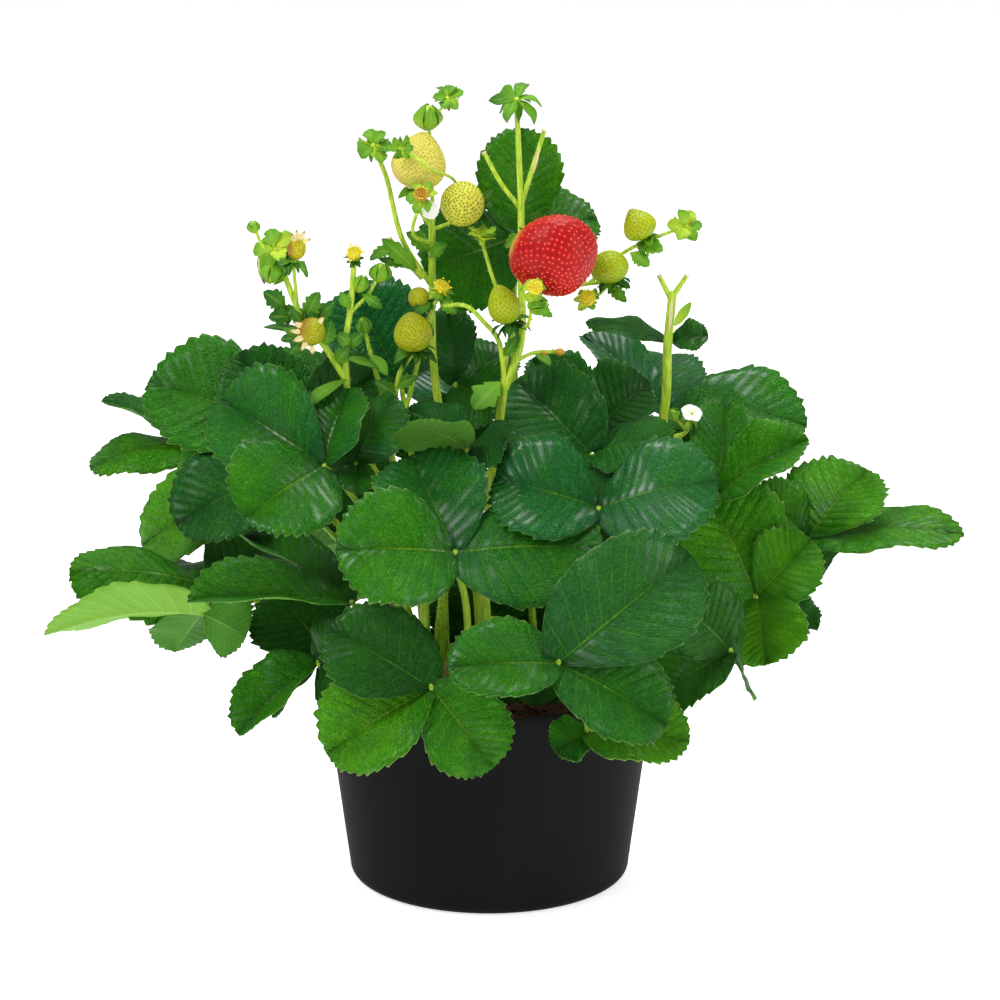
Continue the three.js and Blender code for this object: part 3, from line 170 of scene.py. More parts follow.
# Each leaf: its hub, the way its upper face looks, its crown, the arch of its stalk, how much sky its gloss
# shows (which also paints a bluish sky reflection into its colour), and its leaflets as (tip, width, roll,
# fold, arch, how fresh and pale it is)
LEAVES = {
    "leaf_front_left": ((-24, -98, 115), (-0.15, -0.75, 0.65), "left", 26, 0.2, (
        ((-67, -86, 138), 41, 0, 8, 0.04, 0.15),
        ((-68, -101, 87), 44, 0, 8, 0.05, 0.75),
        ((2, -104, 82), 36, 0, 8, 0.05, 0.6))),
    "leaf_front_right": ((29, -112, 130), (0.1, -0.7, 0.7), "right", 24, 0.4, (
        ((-17, -118, 130), 34, 0, 10, 0.05, 0.45),
        ((74, -112, 103), 42, 0, 8, 0.05, 0.3),
        ((85, -79, 168), 50, 15, 8, 0.06, 0.15))),
    "leaf_front_centre": ((-14, -75, 168), (-0.05, -0.55, 0.8), "left", 10, 0.7, (
        ((-64, -87, 172), 49, -30, 10, 0.1, 0.55),
        ((49, -72, 168), 48, 15, -12, 0.08, 0.35),
        ((-34, -42, 202), 46, 0, 10, 0.05, 0.2))),
    "leaf_left_glossy": ((-71, -42, 198), (-0.1, -0.4, 0.9), "left", 6, 0.9, (
        ((-117, -14, 221), 48, -30, 14, 0.06, 0.3),
        ((-104, -66, 180), 48, -30, 12, 0.06, 0.5),
        ((-61, -21, 227), 34, -10, 14, 0.04, 0.4))),
    "leaf_left_high": ((-92, 22, 199), (-0.2, -0.7, 0.7), "left", 4, 0.1, (
        ((-153, 30, 220), 54, 0, 6, 0.05, 0.4),
        ((-71, 58, 225), 48, 0, 8, 0.05, 0.3),
        ((-126, 48, 173), 34, 0, 8, 0.05, 0.3))),
    "leaf_left_wing": ((-127, 62, 180), (-0.2, -0.1, 1), "left", 12, 0.4, (
        ((-182, 41, 178), 32, -15, -14, 0.12, 0.65),
        ((-179, 72, 203), 34, 10, 10, 0.02, 0.25),
        ((-129, 102, 212), 32, 0, 8, 0.05, 0.35))),
    "leaf_left_round": ((-95, 2, 184), (-0.35, -0.6, 0.7), "left", 6, 0.4, (
        ((-138, -12, 164), 43, -15, 6, 0.06, 0.1),
        ((-158, 30, 144), 44, -10, 6, 0.06, 0.8),
        ((-104, 34, 178), 30, 0, 8, 0.04, 0.3))),
    "leaf_left_arched": ((-125, -16, 138), (0, -0.1, 1), "left", -6, 0.3, (
        ((-183, -32, 148), 41, -30, -26, 0.08, 0.65),
        ((-158, 24, 134), 28, 10, 8, 0.06, 0.3),
        ((-96, 28, 146), 42, 30, 8, 0.05, 0.4))),
    "leaf_left_lime": ((-124, -46, 133), (-0.1, 0.8, 0.6), "left", -10, 0.1, (
        ((-190, -66, 129), 36, -15, 10, 0.07, 0.85),
        ((-105, -50, 124), 28, -30, 6, 0.04, 0),
        ((-139, -15, 107), 30, -10, 6, 0.04, 0))),
    "leaf_left_folded": ((-59, -60, 142), (-0.1, 0.15, 1), "left", -8, 0.4, (
        ((-128, -71, 145), 35, -30, 24, 0.05, 0.5),
        ((-111, -4, 157), 32, 0, 20, 0.04, 0.4),
        ((-38, -32, 148), 20, 0, 10, 0.04, 0.4))),
    "leaf_left_shade": ((-71, -46, 115), (-0.3, -0.6, 0.7), "left", 14, 0.1, (
        ((-93, -30, 140), 42, 0, 6, 0.04, 0.05),
        ((-45, -67, 98), 20, 0, 8, 0.04, 0.1),
        ((-94, -53, 88), 25, 30, 8, 0.04, 0.2))),
    "leaf_left_hanging": ((-73, -72, 118), (-0.5, -0.5, 0.7), "left", 12, 0.4, (
        ((-106, -90, 92), 30, -5, 26, 0.06, 0.5),
        ((-50, -80, 97), 28, 0, 8, 0.04, 0.3),
        ((-64, -76, 136), 20, 0, 8, 0.04, 0.3))),
    "leaf_centre_low": ((27, -58, 146), (0, -0.2, 1), "right", -6, 0.2, (
        ((-7, -70, 151), 34, 0, 8, 0.06, 0.2),
        ((58, -46, 152), 28, 0, 14, 0.04, 0.2),
        ((14, -37, 149), 22, 0, 8, 0.04, 0.2))),
    "leaf_rim_right": ((42, -84, 92), (0.1, -0.6, 0.8), "right", 26, 0.2, (
        ((85, -91, 89), 36, 0, 8, 0.08, 0.95),
        ((62, -82, 110), 22, 0, 8, 0.04, 0.6),
        ((28, -88, 84), 20, 0, 8, 0.04, 0.5))),
    "leaf_centre_right": ((47, -58, 183), (0, -0.35, 0.95), "right", 2, 0.9, (
        ((2, -49, 193), 48, -30, 12, 0.07, 0.1),
        ((97, -60, 195), 50, 22, -6, 0.08, 0.15),
        ((51, -22, 192), 30, 0, 8, 0.04, 0.15))),
    "leaf_middle_right": ((45, -16, 197), (0, -0.35, 0.95), "right", 2, 0.7, (
        ((-2, -36, 200), 30, 0, -10, 0.08, 0.3),
        ((12, 12, 224), 43, -30, 10, 0.05, 0.2),
        ((80, -26, 206), 36, 0, -6, 0.07, 0.3))),
    "leaf_middle_back": ((45, 24, 196), (0, -0.4, 0.9), "right", 2, 0.8, (
        ((19, 36, 229), 36, 0, 16, 0.04, 0.3),
        ((72, 22, 221), 41, 15, 10, 0.05, 0.3),
        ((48, 60, 212), 32, 0, 8, 0.04, 0.3))),
    "leaf_right_high": ((80, 44, 203), (0.1, -0.45, 0.9), "right", 2, 1, (
        ((43, 63, 235), 37, 15, 10, 0.05, 0.1),
        ((144, 39, 198), 48, 0, 8, 0.08, 0.4),
        ((82, 97, 219), 36, 0, 8, 0.05, 0.2))),
    "leaf_right_fan": ((100, -20, 180), (0.1, -0.5, 0.85), "right", 2, 0.7, (
        ((105, 10, 215), 28, 0, 16, 0.03, 0.45),
        ((139, -21, 205), 32, 0, 20, 0.05, 0.6),
        ((118, 34, 188), 30, 0, 8, 0.05, 0.5))),
    # Its high freshness also paints the light shining through its blades from behind
    "leaf_right_bright": ((118, -18, 133), (0.2, -0.75, 0.65), "right", 8, 0, (
        ((94, 0, 180), 50, -5, 6, 0.05, 0.7),
        ((142, -14, 158), 32, 0, 6, 0.05, 0.75),
        ((122, -33, 106), 40, 30, 6, 0.05, 0.85))),
    "leaf_right_far": ((142, 6, 153), (0.1, -0.55, 0.8), "right", 6, 0.4, (
        ((119, 12, 175), 28, 0, 8, 0.04, 0.7),
        ((170, 22, 181), 50, -20, 6, 0.05, 0.75),
        ((210, -9, 159), 34, -15, -6, 0.08, 0.7))),
    "leaf_right_dark": ((104, -62, 121), (0.1, -0.7, 0.7), "right", 3, 0.2, (
        ((71, -66, 100), 34, 20, 6, 0.05, 0.35),
        ((81, -62, 143), 40, 0, 6, 0.04, 0.3),
        ((111, -37, 102), 31, 15, 6, 0.04, 0.3))),
    "leaf_right_under": ((131, 16, 119), (0.2, -0.3, 0.95), "right", 8, 0.3, (
        ((149, 14, 110), 26, 0, 8, 0.04, 0.4),
        ((167, 30, 150), 34, -30, 8, 0.04, 0.4),
        ((112, 46, 142), 32, 0, 8, 0.04, 0.4))),
    "leaf_back_blue": ((-40, 40, 217), (-0.1, -0.5, 0.85), "left", 2, 1, (
        ((-62, 51, 259), 48, -15, 10, 0.04, 0),
        ((-66, 74, 218), 32, 0, 8, 0.04, 0),
        ((-18, 63, 224), 44, 35, 8, 0.04, 0))),
    "leaf_back_veined": ((-15, 26, 220), (0, -0.5, 0.85), "left", 2, 0.4, (
        ((-19, 36, 253), 22, 0, 16, 0.03, 0.1),
        ((8, 46, 230), 30, 0, 8, 0.04, 0.3),
        ((6, 16, 210), 33, 30, 8, 0.04, 0.4))),
    "leaf_top": ((13, 24, 287), (0, -0.8, 0.6), "right", 0, 0.5, (
        ((14, 30, 334), 36, 0, 6, 0.03, 0.7),
        ((48, 33, 293), 35, -15, 6, 0.05, 0.6),
        ((-29, 32, 270), 46, -30, 8, 0.04, 0.5))),
    "leaf_centre_edge": ((-9, -34, 204), (-0.05, -0.05, 1), "left", 2, 0.5, (
        ((-36, -20, 218), 28, 0, 12, 0.05, 0.1),
        ((-35, -56, 219), 33, 30, -14, 0.06, 0.15),
        ((8, -46, 211), 31, 30, -20, 0.05, 0.1))),
    "leaf_centre_silver": ((-58, -30, 196), (0, -0.2, 1), "left", 2, 1, (
        ((-41, -34, 227), 31, 30, -30, 0.04, 0.4),
        ((-67, -27, 202), 20, -30, 8, 0.04, 0.4),
        ((-56, -48, 187), 16, 0, 8, 0.04, 0.4))),
    "leaf_back_left": ((-90, 72, 128), (-0.3, 0.4, 0.9), "left", 12, 1, (
        ((-142, 66, 116), 40, 0, 8, 0.06, 0.05),
        ((-104, 120, 112), 42, 0, 8, 0.06, 0.1),
        ((-52, 105, 128), 49, -30, 8, 0.06, 0.05))),
    "leaf_back_middle": ((-8, 96, 158), (0, 0.45, 0.9), "left", 10, 0.4, (
        ((-58, 106, 150), 40, 0, 8, 0.06, 0.4),
        ((-6, 150, 140), 42, 0, 8, 0.06, 0.5),
        ((44, 108, 150), 40, 0, 8, 0.06, 0.6))),
    "leaf_inner_right": ((86, 41, 147), (-0.1, -0.95, 0.35), "right", 8, 0.2, (
        ((33, 43, 137), 44, 0, 8, 0.05, 0.1),
        ((92, 19, 102), 42, 0, 8, 0.05, 0.15),
        ((78, 59, 192), 42, 0, 8, 0.05, 0.2))),
    "leaf_inner_left": ((-86, 17, 192), (0.15, -0.95, 0.3), "left", 8, 0.3, (
        ((-49, 34, 227), 44, 20, 8, 0.05, 0.15),
        ((-112, 25, 234), 42, 0, 8, 0.05, 0.15),
        ((-45, 16, 165), 42, 0, 8, 0.05, 0.1))),
}

# Leaf stalks that bow to one side, in x and y
STALK_BOWS = {
    "leaf_right_fan": (0, -22), "leaf_top": (-8, 0), "leaf_centre_silver": (8, -8),
    "leaf_inner_left": (0, 16),
}

# The two small leaves on the cut stalk: a facing and a leaflet each
CUT_STALK_HUB = (80, 16.5, 241)
CUT_STALK_SKY = 0.5
CUT_STALK_LEAFLETS = (
    ((0, -0.25, 1), ((43, 20, 249), 18, 0, -10, 0.09, 0.3)),
    ((0, -0.7, 0.7), ((97, 14, 244), 15, 0, 6, 0.05, 0.4)),
)

# Each truss. Stalks: diameter and path, the main one first. Stars: centre, axis, radius, droop, how
# yellow and how leafy. Bracts: foot, tip, facing, width, how yellow. Buds: foot, tip, width. Some have
# cut stalks, by number, with splits (foot, tip, width) in them, and dry knobs (centre, radius)
TRUSSES = {
    "truss_left": {
        "stalks": (
            (4.2, ((-31, -21, 78), (-31, -21, 94), (-30, -23, 150), (-60, -14, 209), (-62, -18, 231))),
            (3, ((-62, -18, 230), (-70, -20, 244), (-82, -18, 261), (-91, -15, 284))),
            (2, ((-76, -19, 251), (-80, -21, 255))),
            (3, ((-62, -18, 230), (-62, -20, 248), (-60, -18, 261), (-58, -16, 283))),
            (1.8, ((-60, -18, 260), (-52, -15, 268), (-48, -14, 275))),
            (1.6, ((-90, -15, 280), (-98, -13, 289), (-101, -12, 296))),
            (1.8, ((-83, -18, 264), (-84, -22, 282))),
        ),
        "stars": (
            ((-92, -14, 287), (-0.3, -0.75, 0.5), 11, 0.15, 0.85, 1),
        ),
        "bracts": (
            ((-62, -19, 231), (-80, -30, 220), (0, -0.4, 1), 7, 0.4),
            ((-75, -19, 250), (-98, -14, 253), (0, -0.5, 0.9), 5, 0.2),
            ((-62, -20, 240), (-48, -16, 235), (0, -0.4, 1), 7, 0.35),
            ((-82, -18, 262), (-92, -15, 256), (0, -0.8, 0.5), 9, 0.15),
            ((-99, -12.5, 287), (-97, -14, 272), (-0.3, -0.9, 0.2), 4, 0.6),
        ),
        "buds": (
            ((-48, -14, 273), (-46, -14, 281), 7),
            ((-57, -16, 269), (-54, -17, 276), 5),
            ((-92, -15, 281), (-94, -18, 273), 8),
            ((-101, -12, 294), (-102, -12, 299), 4),
        ),
    },
    "truss_middle": {
        "stalks": (
            (3.6, ((-10, -22, 78), (-10, -22, 94), (-12, -22, 140), (-42, -14, 193), (-43, -12, 211))),
            (2.4, ((-42, -13, 208), (-51, -10, 238), (-54, -8, 250))),
            (2.6, ((-42, -13, 208), (-39, -12, 232), (-33, -12, 241))),
            (2.4, ((-39, -12, 206), (-31, -8, 237), (-27, -6, 255), (-21, -6, 267))),
            (1.8, ((-28, -6, 250), (-31, -4, 257))),
        ),
        "stars": (),
        "bracts": (
            ((-52, -10, 240), (-44, -16, 232), (0, -0.5, 0.8), 6, 0.5),
        ),
        "buds": (
            ((-54, -8, 249), (-55, -8, 256), 5),
        ),
    },
    "truss_tall": {
        "stalks": (
            (4.4, (
                (-4, 12, 78), (-4, 12, 94), (-8, 14, 150), (-22, 13, 210), (-25, 12, 238), (-25, 10, 275),
                (-25, 9, 297))),
            (2.4, ((-26, 10, 268), (-38, 8, 288), (-45, 8, 316), (-50, 3, 329))),
            (1.8, ((-25, 9, 290), (-25, 20, 306), (-26, 20, 332), (-27, 8, 341))),
            (4, ((-29, 10, 271), (-44, 6, 288))),
            (1.8, ((-25, 9, 286), (-33, -6, 293), (-29, -15, 309))),
            (1.8, ((-25, 9, 292), (-12, 10, 297), (-6, 7, 301))),
            (1.4, ((-37, -12, 331), (-25, -13, 322), (-15, 6, 314), (-12, 12, 304), (-12, 10, 297))),
            (2, ((-25, 9, 293), (-31, 8, 302), (-32.6, 5, 310))),
            (1.4, ((-27, 8, 337), (-18, 6, 349))),
        ),
        "stars": (
            ((-50, 2, 330), (-0.3, -0.7, 0.5), 9, 0.1, 0.6, 1),
            ((-38, -12, 331), (0.2, -0.8, -0.2), 6.5, 0.1, 0.65, 0.8),
            ((-18, 6, 350), (0.2, -0.7, 0.6), 8, 0.1, 0.6, 1),
        ),
        "bracts": (
            ((-36, 8, 280), (-46, 4, 283), (0, -0.7, 0.6), 5, 0.5),
        ),
        "buds": (
            ((-27, 8, 336), (-26, 6, 347), 9),
        ),
        "cut": (3,),
    },
    "truss_main": {
        "stalks": (
            (5.2, ((0, -10, 78), (0, -10, 94), (-2, -12, 140), (2, -12, 190), (7, -10, 229))),
            (2.4, ((7, -10, 225), (4, -12, 247), (-2, -14, 255), (-10, -12, 262), (-21, -8, 261))),
            (3.8, ((7, -10, 225), (14, -8, 246), (14, -2, 272), (14, 2, 306))),
            (2.8, ((14, 2, 303), (12, 2, 348))),
            (2.2, ((14, 2, 302), (5, 1, 314), (-2, 0, 327))),
            (2.4, ((14, 2, 304), (19, 3, 320), (24, 4, 336))),
            (2, ((7, -11, 238), (9, -13, 247), (9, -16, 254))),
            (2, ((7, -9, 232), (9, -6, 255), (2, -5, 272), (-3, -4, 289))),
            (2, ((14, 0, 288), (19, -6, 294), (24, -12, 296))),
            (1.8, ((14, -6, 252), (17, -32, 258), (19, -46, 274))),
            (2.2, ((14, -3, 264), (30, 8, 266), (44, 10, 268), (53, 3, 270))),
            (1.8, ((44, 10, 268), (58, 10, 281), (68, 6, 287), (86, 7, 294))),
            (1.6, ((53, 3, 270), (49, 3, 265), (43, 0, 262))),
            (2, ((10, -9, 236), (20, 0, 239), (30, 2, 239))),
        ),
        "stars": (
            ((12, 2, 350), (0, -0.65, 0.75), 12, -0.3, 0.45, 0.45),
            ((-3, -4, 289), (0, -0.1, 1), 7.5, 0.6, 0.95, 0.6),
            ((86, 6, 294), (0.2, -0.8, 0.4), 9, 0.1, 0.8, 1),
        ),
        "bracts": (
            ((5, -12, 228), (-7, -17, 217), (-0.3, -0.8, 0.5), 13, 0.45),
            ((20, 1, 239), (27, -4, 234), (0, -0.3, 1), 6, 0.5),
        ),
        "buds": (
            ((17, -41, 267), (25, -46, 269), 6),
        ),
        "cut": (4, 5),
        "splits": (
            ((19.4, 1.4, 318), (21.6, 2, 329), 1.5),
        ),
        "dry_knobs": (
            ((31, 1.5, 239), 2.1),
            ((24, 0.5, 238.6), 1.3),
        ),
    },
    "truss_right": {
        "stalks": (
            (5.4, ((46, 8, 78), (46, 8, 94), (64, 12, 150), (78, 14, 210), (79, 12, 240), (81, 12, 264))),
            (2.6, ((80, 12, 261), (75, 12, 271))),
            (2.6, ((81, 12, 262), (87, 12, 271))),
            (2.2, ((77, 13, 198), (86, 2, 202), (88, -8, 210))),
            (1.6, ((87, -4, 205), (82, -7, 211))),
        ),
        "stars": (
            ((88, -8, 211), (0.2, -0.6, 0.8), 5, -0.2, 0.6, 0.3),
        ),
        "bracts": (
            ((82, 11, 249), (89, 9, 260), (0, -1, 0.3), 4.5, 0.8),
        ),
        "buds": (
            ((82, -6, 210), (80, -8, 215), 4),
        ),
        "cut": (1, 2),
        "splits": (
            ((79.6, 9.6, 246), (80.6, 9.6, 262), 1.5),
        ),
    },
}

# Each fruit and flower: its truss, star centre, tip, width, taper, star radius, droop, how yellow and
# how leafy its star is
FRUITS = {
    "fruit_red": ("truss_main", (24, -13, 296), (33, -39, 274), 37, 0.3, 12, -0.1, 0.15, 0.2),
    "fruit_white_large": ("truss_tall", (-32.6, 4, 310), (-27.6, 0, 336), 23, 0.3, 7, -0.3, 0.5, 0.3),
    "fruit_white_medium": ("truss_tall", (-6, 7, 302), (-17, -9, 308), 20, 0.1, 12, -0.1, 0.15, 0.2),
    "fruit_pear": ("truss_main", (9, -16, 255), (3.5, -24, 273), 13.5, 0.3, 10, -0.1, 0.15, 0.2),
    "fruit_round": ("truss_middle", (-32, -12, 242), (-34, -19, 260), 16.5, 0.25, 11, -0.15, 0.15, 0.2),
    "fruit_small_brown": ("truss_middle", (-27.5, -4, 261), (-33.5, -8, 268), 9.5, 0.1, 6, -0.2, 0.15, 0.2),
    "fruit_left_top": ("truss_left", (-84, -22, 283), (-81, -25, 294), 8, 0.1, 8, -0.2, 0.2, 0.6),
    "fruit_left_egg": ("truss_left", (-80, -22, 255), (-73, -33, 252), 12.5, 0.15, 9, -0.2, 0.3, 0.5),
    "fruit_right_round": ("truss_main", (54, 2, 270), (51, -4, 284), 17, 0.16, 8, -0.2, 0.25, 0.5),
    "fruit_right_cone": ("truss_main", (69, 6, 288), (61.5, 4, 302), 14, 0.45, 7, -0.2, 0.6, 0.5),
    "flower_left": ("truss_left", (-58, -16, 283), (-58, -20, 289), 8, 0.16, 5, -0.1, 0.2, 0.1),
    "flower_middle": ("truss_middle", (-21, -6, 267), (-20, -10, 272), 8, 0.16, 6, -0.1, 0.7, 0.3),
    "flower_tall": ("truss_tall", (-29, -15, 310), (-29, -21, 313), 8, 0.16, 8, -0.1, 0.8, 0.5),
    "flower_front": ("truss_main", (19, -47, 275), (20, -53, 278), 8, 0.16, 6, -0.1, 0.9, 0.9),
    "flower_right": ("truss_main", (43, -1, 263), (43, -7, 265), 9, 0.16, 6, -0.1, 0.8, 0.7),
}

# The yellow rays round a flower's centre: length and number. All have the same droop and tints
RAY_LIFT = 2
RAY_FORM = (0.35, 0.5, 0.1)
RAYS = {"flower_left": (5.2, 3), "flower_middle": (5, 3), "flower_front": (3.6, 3), "flower_right": (4, 3)}

# Withered petals round the young fruit: foot, tip, width
DRIED_PETALS = (
    ((-82.5, -26, 292.5), (-84.5, -28.5, 296), 2.4),
    ((-81.5, -27, 293.5), (-82, -29, 298), 2.2),
    ((-80.5, -27, 293.5), (-78.5, -29, 297.5), 2.2),
    ((-79.5, -27, 292.5), (-76, -29, 294), 2.4),
    ((-79, -29, 255.5), (-84, -32, 258.5), 2.2),
    ((-79.5, -30, 253.5), (-85.5, -33, 255), 2),
    ((-79, -31, 252), (-84, -34, 250.5), 2.4),
    ((-78, -31, 250), (-80.5, -35, 246.5), 2.2),
    ((-76, -31, 248), (-75.5, -35, 245), 2.4),
    ((-73, -30, 257.5), (-70.5, -32, 261), 2),
    ((-99, -12.5, 287), (-97.2, -14.8, 272), 4),
)
FRESH_PETAL = ((-28, -13.5, 309.5), (-23.6, -11.5, 300), 7.6)
LOOSE_PETAL_FACING = (0.1, -1, 0.25)
OPEN_FLOWER = (88.6, -9.8, 213.4)
OPEN_FLOWER_AXIS = (0.2, -0.6, 0.8)

# Small toothed leaves along the trusses: foot, tip, facing, width, freshness
RAISED = (0, -0.9, 0.4)
FORWARD = (0, -0.9, 0.3)
SMALL_LEAVES = (
    ((-88, -17, 262), (-97, -22, 270), RAISED, 9, 0.2),
    ((-86, -18, 258), (-95, -24, 259), RAISED, 8, 0.15),
    ((-71, -20, 246), (-68, -24, 258), (0.2, -0.9, 0.3), 7, 0.3),
    ((-72, -20, 248), (-77, -24, 262), FORWARD, 7, 0.25),
    ((-66, -19, 238), (-60, -24, 246), RAISED, 7, 0.3),
    ((-60, -20, 246), (-66, -23, 252), RAISED, 6, 0.35),
    ((-60, -19, 262), (-64, -22, 270), (0, -0.9, 0.2), 5, 0.5),
    ((-26, 9, 283), (-36, 2, 292), RAISED, 8, 0.4),
    ((-26, 8, 280), (-18, 2, 287), RAISED, 6, 0.35),
    ((-31, -7, 252), (-24, -12, 249), RAISED, 7, 0.3),
    ((-25, -6, 262), (-33, -11, 259), RAISED, 6, 0.3),
    ((-22, -6, 264), (-14, -10, 258), RAISED, 6, 0.4),
    ((62, 8, 282), (70, 2, 277), RAISED, 7, 0.6),
    ((66, 7, 286), (76, 2, 284), RAISED, 8, 0.65),
    ((14, 1, 292), (7, -4, 286), FORWARD, 5, 0.5),
    ((7, -12, 240), (13, -18, 250), FORWARD, 6, 0.3),
    ((-31, 9, 273), (-47, 4, 289), FORWARD, 8, 0.5),
    ((-34, 8, 276), (-48, 2, 280), FORWARD, 5, 0.3),
    ((-42, 6, 286), (-52, 0, 280), FORWARD, 5, 0.4),
    ((-80, -19, 256), (-73, -22, 270), FORWARD, 8, 0.35),
    ((-77, -19, 254), (-66, -22, 266), FORWARD, 7, 0.25),
    ((-74, -20, 250), (-90, -23, 249), RAISED, 7, 0.2),
    ((-78, -21, 251), (-86, -25, 243), RAISED, 6, 0.25),
    ((-62, -18, 244), (-54, -20, 252), FORWARD, 6, 0.25),
    ((-55, -16, 268), (-46, -18, 262), FORWARD, 5, 0.3),
    ((-40, -13, 222), (-50, -19, 230), RAISED, 7, 0.3),
    ((-40, -13, 226), (-31, -18, 232), RAISED, 6, 0.3),
    ((12, -6, 250), (4, -12, 262), FORWARD, 6, 0.3),
    ((19, -44, 268), (27, -49, 264), FORWARD, 5, 0.5),
    ((52, 4, 268), (60, -3, 262), RAISED, 6, 0.5),
)

# Young leaves low between the stalks: stalk root, hub, facing, and the tips and widths of the leaflets
YOUNG_LEAVES = {
    "left": (
        ((-19, 6, 94), (-6, 26, 101), (0, -0.95, 0.3), (
            ((-24, 30, 128), 27), ((8, 32, 131), 27), ((-8, 35, 138), 25))),
        ((-19, 9, 94), (-22, 34, 184), (0, -0.95, 0.3), (
            ((-45, 35, 203), 23), ((3, 33, 199), 23), ((-21, 38, 213), 23))),
    ),
    "right": (
        ((27, 8, 94), (21, 24, 99), (0, -0.95, 0.3), (
            ((2, 28, 122), 25), ((40, 30, 124), 25), ((22, 34, 134), 25))),
        ((23, -9, 94), (20, -32, 103), (0, -0.8, 0.6), (
            ((0, -46, 97), 24), ((38, -48, 97), 24), ((20, -56, 94), 24))),
    ),
}
YOUNG_FORM = (0, 8, 0.1, 0.2)
YOUNG_SKY = 0.1

# Shader maths


def operator(name, swapped=False):
    """An arithmetic sign for Value: adds a Math node, with its terms swapped for the reflected form."""
    def apply(value, other):
        return value.look.maths(name, *((other, value) if swapped else (value, other)))
    return apply


class Value:
    """A node's output that adds, multiplies and so on like a number."""

    __add__, __radd__ = operator("ADD"), operator("ADD", True)
    __sub__, __rsub__ = operator("SUBTRACT"), operator("SUBTRACT", True)
    __mul__, __rmul__ = operator("MULTIPLY"), operator("MULTIPLY", True)
    __truediv__, __rtruediv__ = operator("DIVIDE"), operator("DIVIDE", True)

    def __init__(self, look, socket):
        self.look = look
        self.socket = socket

    def maths(self, operation, *others):
        return self.look.maths(operation, self, *others)

    def __abs__(self):
        return self.maths("ABSOLUTE")

    def smooth(self, low, high):
        """0 below low and 1 above high, with a soft step between."""
        return self.look.node(
            "ShaderNodeMapRange", {"interpolation_type": "SMOOTHSTEP"},
            {"Value": self, "From Min": low, "From Max": high},
        )

    def clamped(self):
        return self.look.node("ShaderNodeClamp", {}, {"Value": self})


class Look:
    """A material and the nodes that make it."""

    def __init__(self, name):
        self.material = bpy.data.materials.new(name)
        self.material.use_nodes = True
        self.tree = self.material.node_tree
        self.tree.nodes.clear()

    def node(self, kind, settings, inputs, out=0):
        made = self.tree.nodes.new(kind)
        for key, value in settings.items():
            setattr(made, key, value)
        for key, value in inputs.items():
            if isinstance(value, Value):
                self.tree.links.new(value.socket, made.inputs[key])
            else:
                made.inputs[key].default_value = value
        return Value(self, made.outputs[out]) if made.outputs else None

    def maths(self, operation, *terms):
        return self.node("ShaderNodeMath", {"operation": operation}, dict(enumerate(terms)))

    def mix(self, factor, first, second):
        colours = {0: factor, 6: first, 7: second}
        return self.node("ShaderNodeMix", {"data_type": "RGBA"}, colours, out=2)

    def vector(self, operation, first, second, out=0):
        return self.node("ShaderNodeVectorMath", {"operation": operation}, {0: first, 1: second}, out)

    def place(self):
        """The point on the piece, in millimetres."""
        spot = self.node("ShaderNodeTexCoord", {}, {}, out=3)
        return self.node("ShaderNodeVectorMath", {"operation": "SCALE"}, {0: spot, "Scale": 1 / MM})

    def map(self, name):
        """The two shares that one of the piece's own UV maps holds."""
        pair = self.node("ShaderNodeUVMap", {"uv_map": name}, {})
        first = self.node("ShaderNodeSeparateXYZ", {}, {0: pair})
        return first, Value(self, first.socket.node.outputs[1])

    def join(self, x, y):
        return self.node("ShaderNodeCombineXYZ", {}, {0: x, 1: y})

    def speckle(self, where, scale, detail=3.0, roughness=0.55):
        """Soft noise between 0 and 1."""
        inputs = {"Vector": where, "Scale": scale, "Detail": detail, "Roughness": roughness}
        return self.node("ShaderNodeTexNoise", {}, inputs)

    def cells(self, where, scale, feature="F1"):
        inputs = {"Vector": where, "Scale": scale}
        return self.node("ShaderNodeTexVoronoi", {"feature": feature}, inputs)

    def bump(self, height, distance, strength=1.0):
        inputs = {"Height": height, "Distance": distance * MM, "Strength": strength}
        return self.node("ShaderNodeBump", {}, inputs)

    def done(self, base, roughness, normal=None, **constants):
        """Ends the material with its shader and output."""
        inputs = {"Base Color": base, "Roughness": roughness}
        if normal is not None:
            inputs["Normal"] = normal
        for key, value in constants.items():
            inputs[key.replace("_", " ")] = value
        surface = self.node("ShaderNodeBsdfPrincipled", {}, inputs)
        self.node("ShaderNodeOutputMaterial", {}, {"Surface": surface})
        return self.material


def rgb(red, green, blue):
    """A colour given as it looks on a screen, 0 to 255, as the shaders need it."""
    def linear(level):
        level /= 255
        return level / 12.92 if level <= 0.04045 else ((level + 0.055) / 1.055) ** 2.4
    return (linear(red), linear(green), linear(blue), 1.0)


def vein_lines(look):
    """
    From the leaflet's own map: the shares along and across, the distance from a side vein, and the
    nearness to the midrib, to a side vein and to a tooth tip.
    """
    along, over = look.map("blade")
    across = abs(over * 2 - 1)
    phase = (along * TEETH).maths("FRACT")
    off_vein = abs(phase - TOOTH_LEAN)
    off_vein = off_vein.maths("MINIMUM", 1 - off_vein)
    midrib = 1 - across.smooth(0.012, 0.052)
    thin = 0.11 - across * 0.07
    side = (1 - (off_vein / thin).smooth(0.25, 1.0)) * across.smooth(0.0, 0.05)
    tip = across.smooth(0.97, 1.0) * (1 - off_vein.smooth(0.03, 0.16))
    return along, across, off_vein, midrib, side, tip


# The light that a leaf's gloss gives back: from the sky, and from its own skin
SKY_TINT = (0.72, 0.92, 1.0, 1.0)
SHEEN = (0.55, 0.92, 0.45, 1.0)


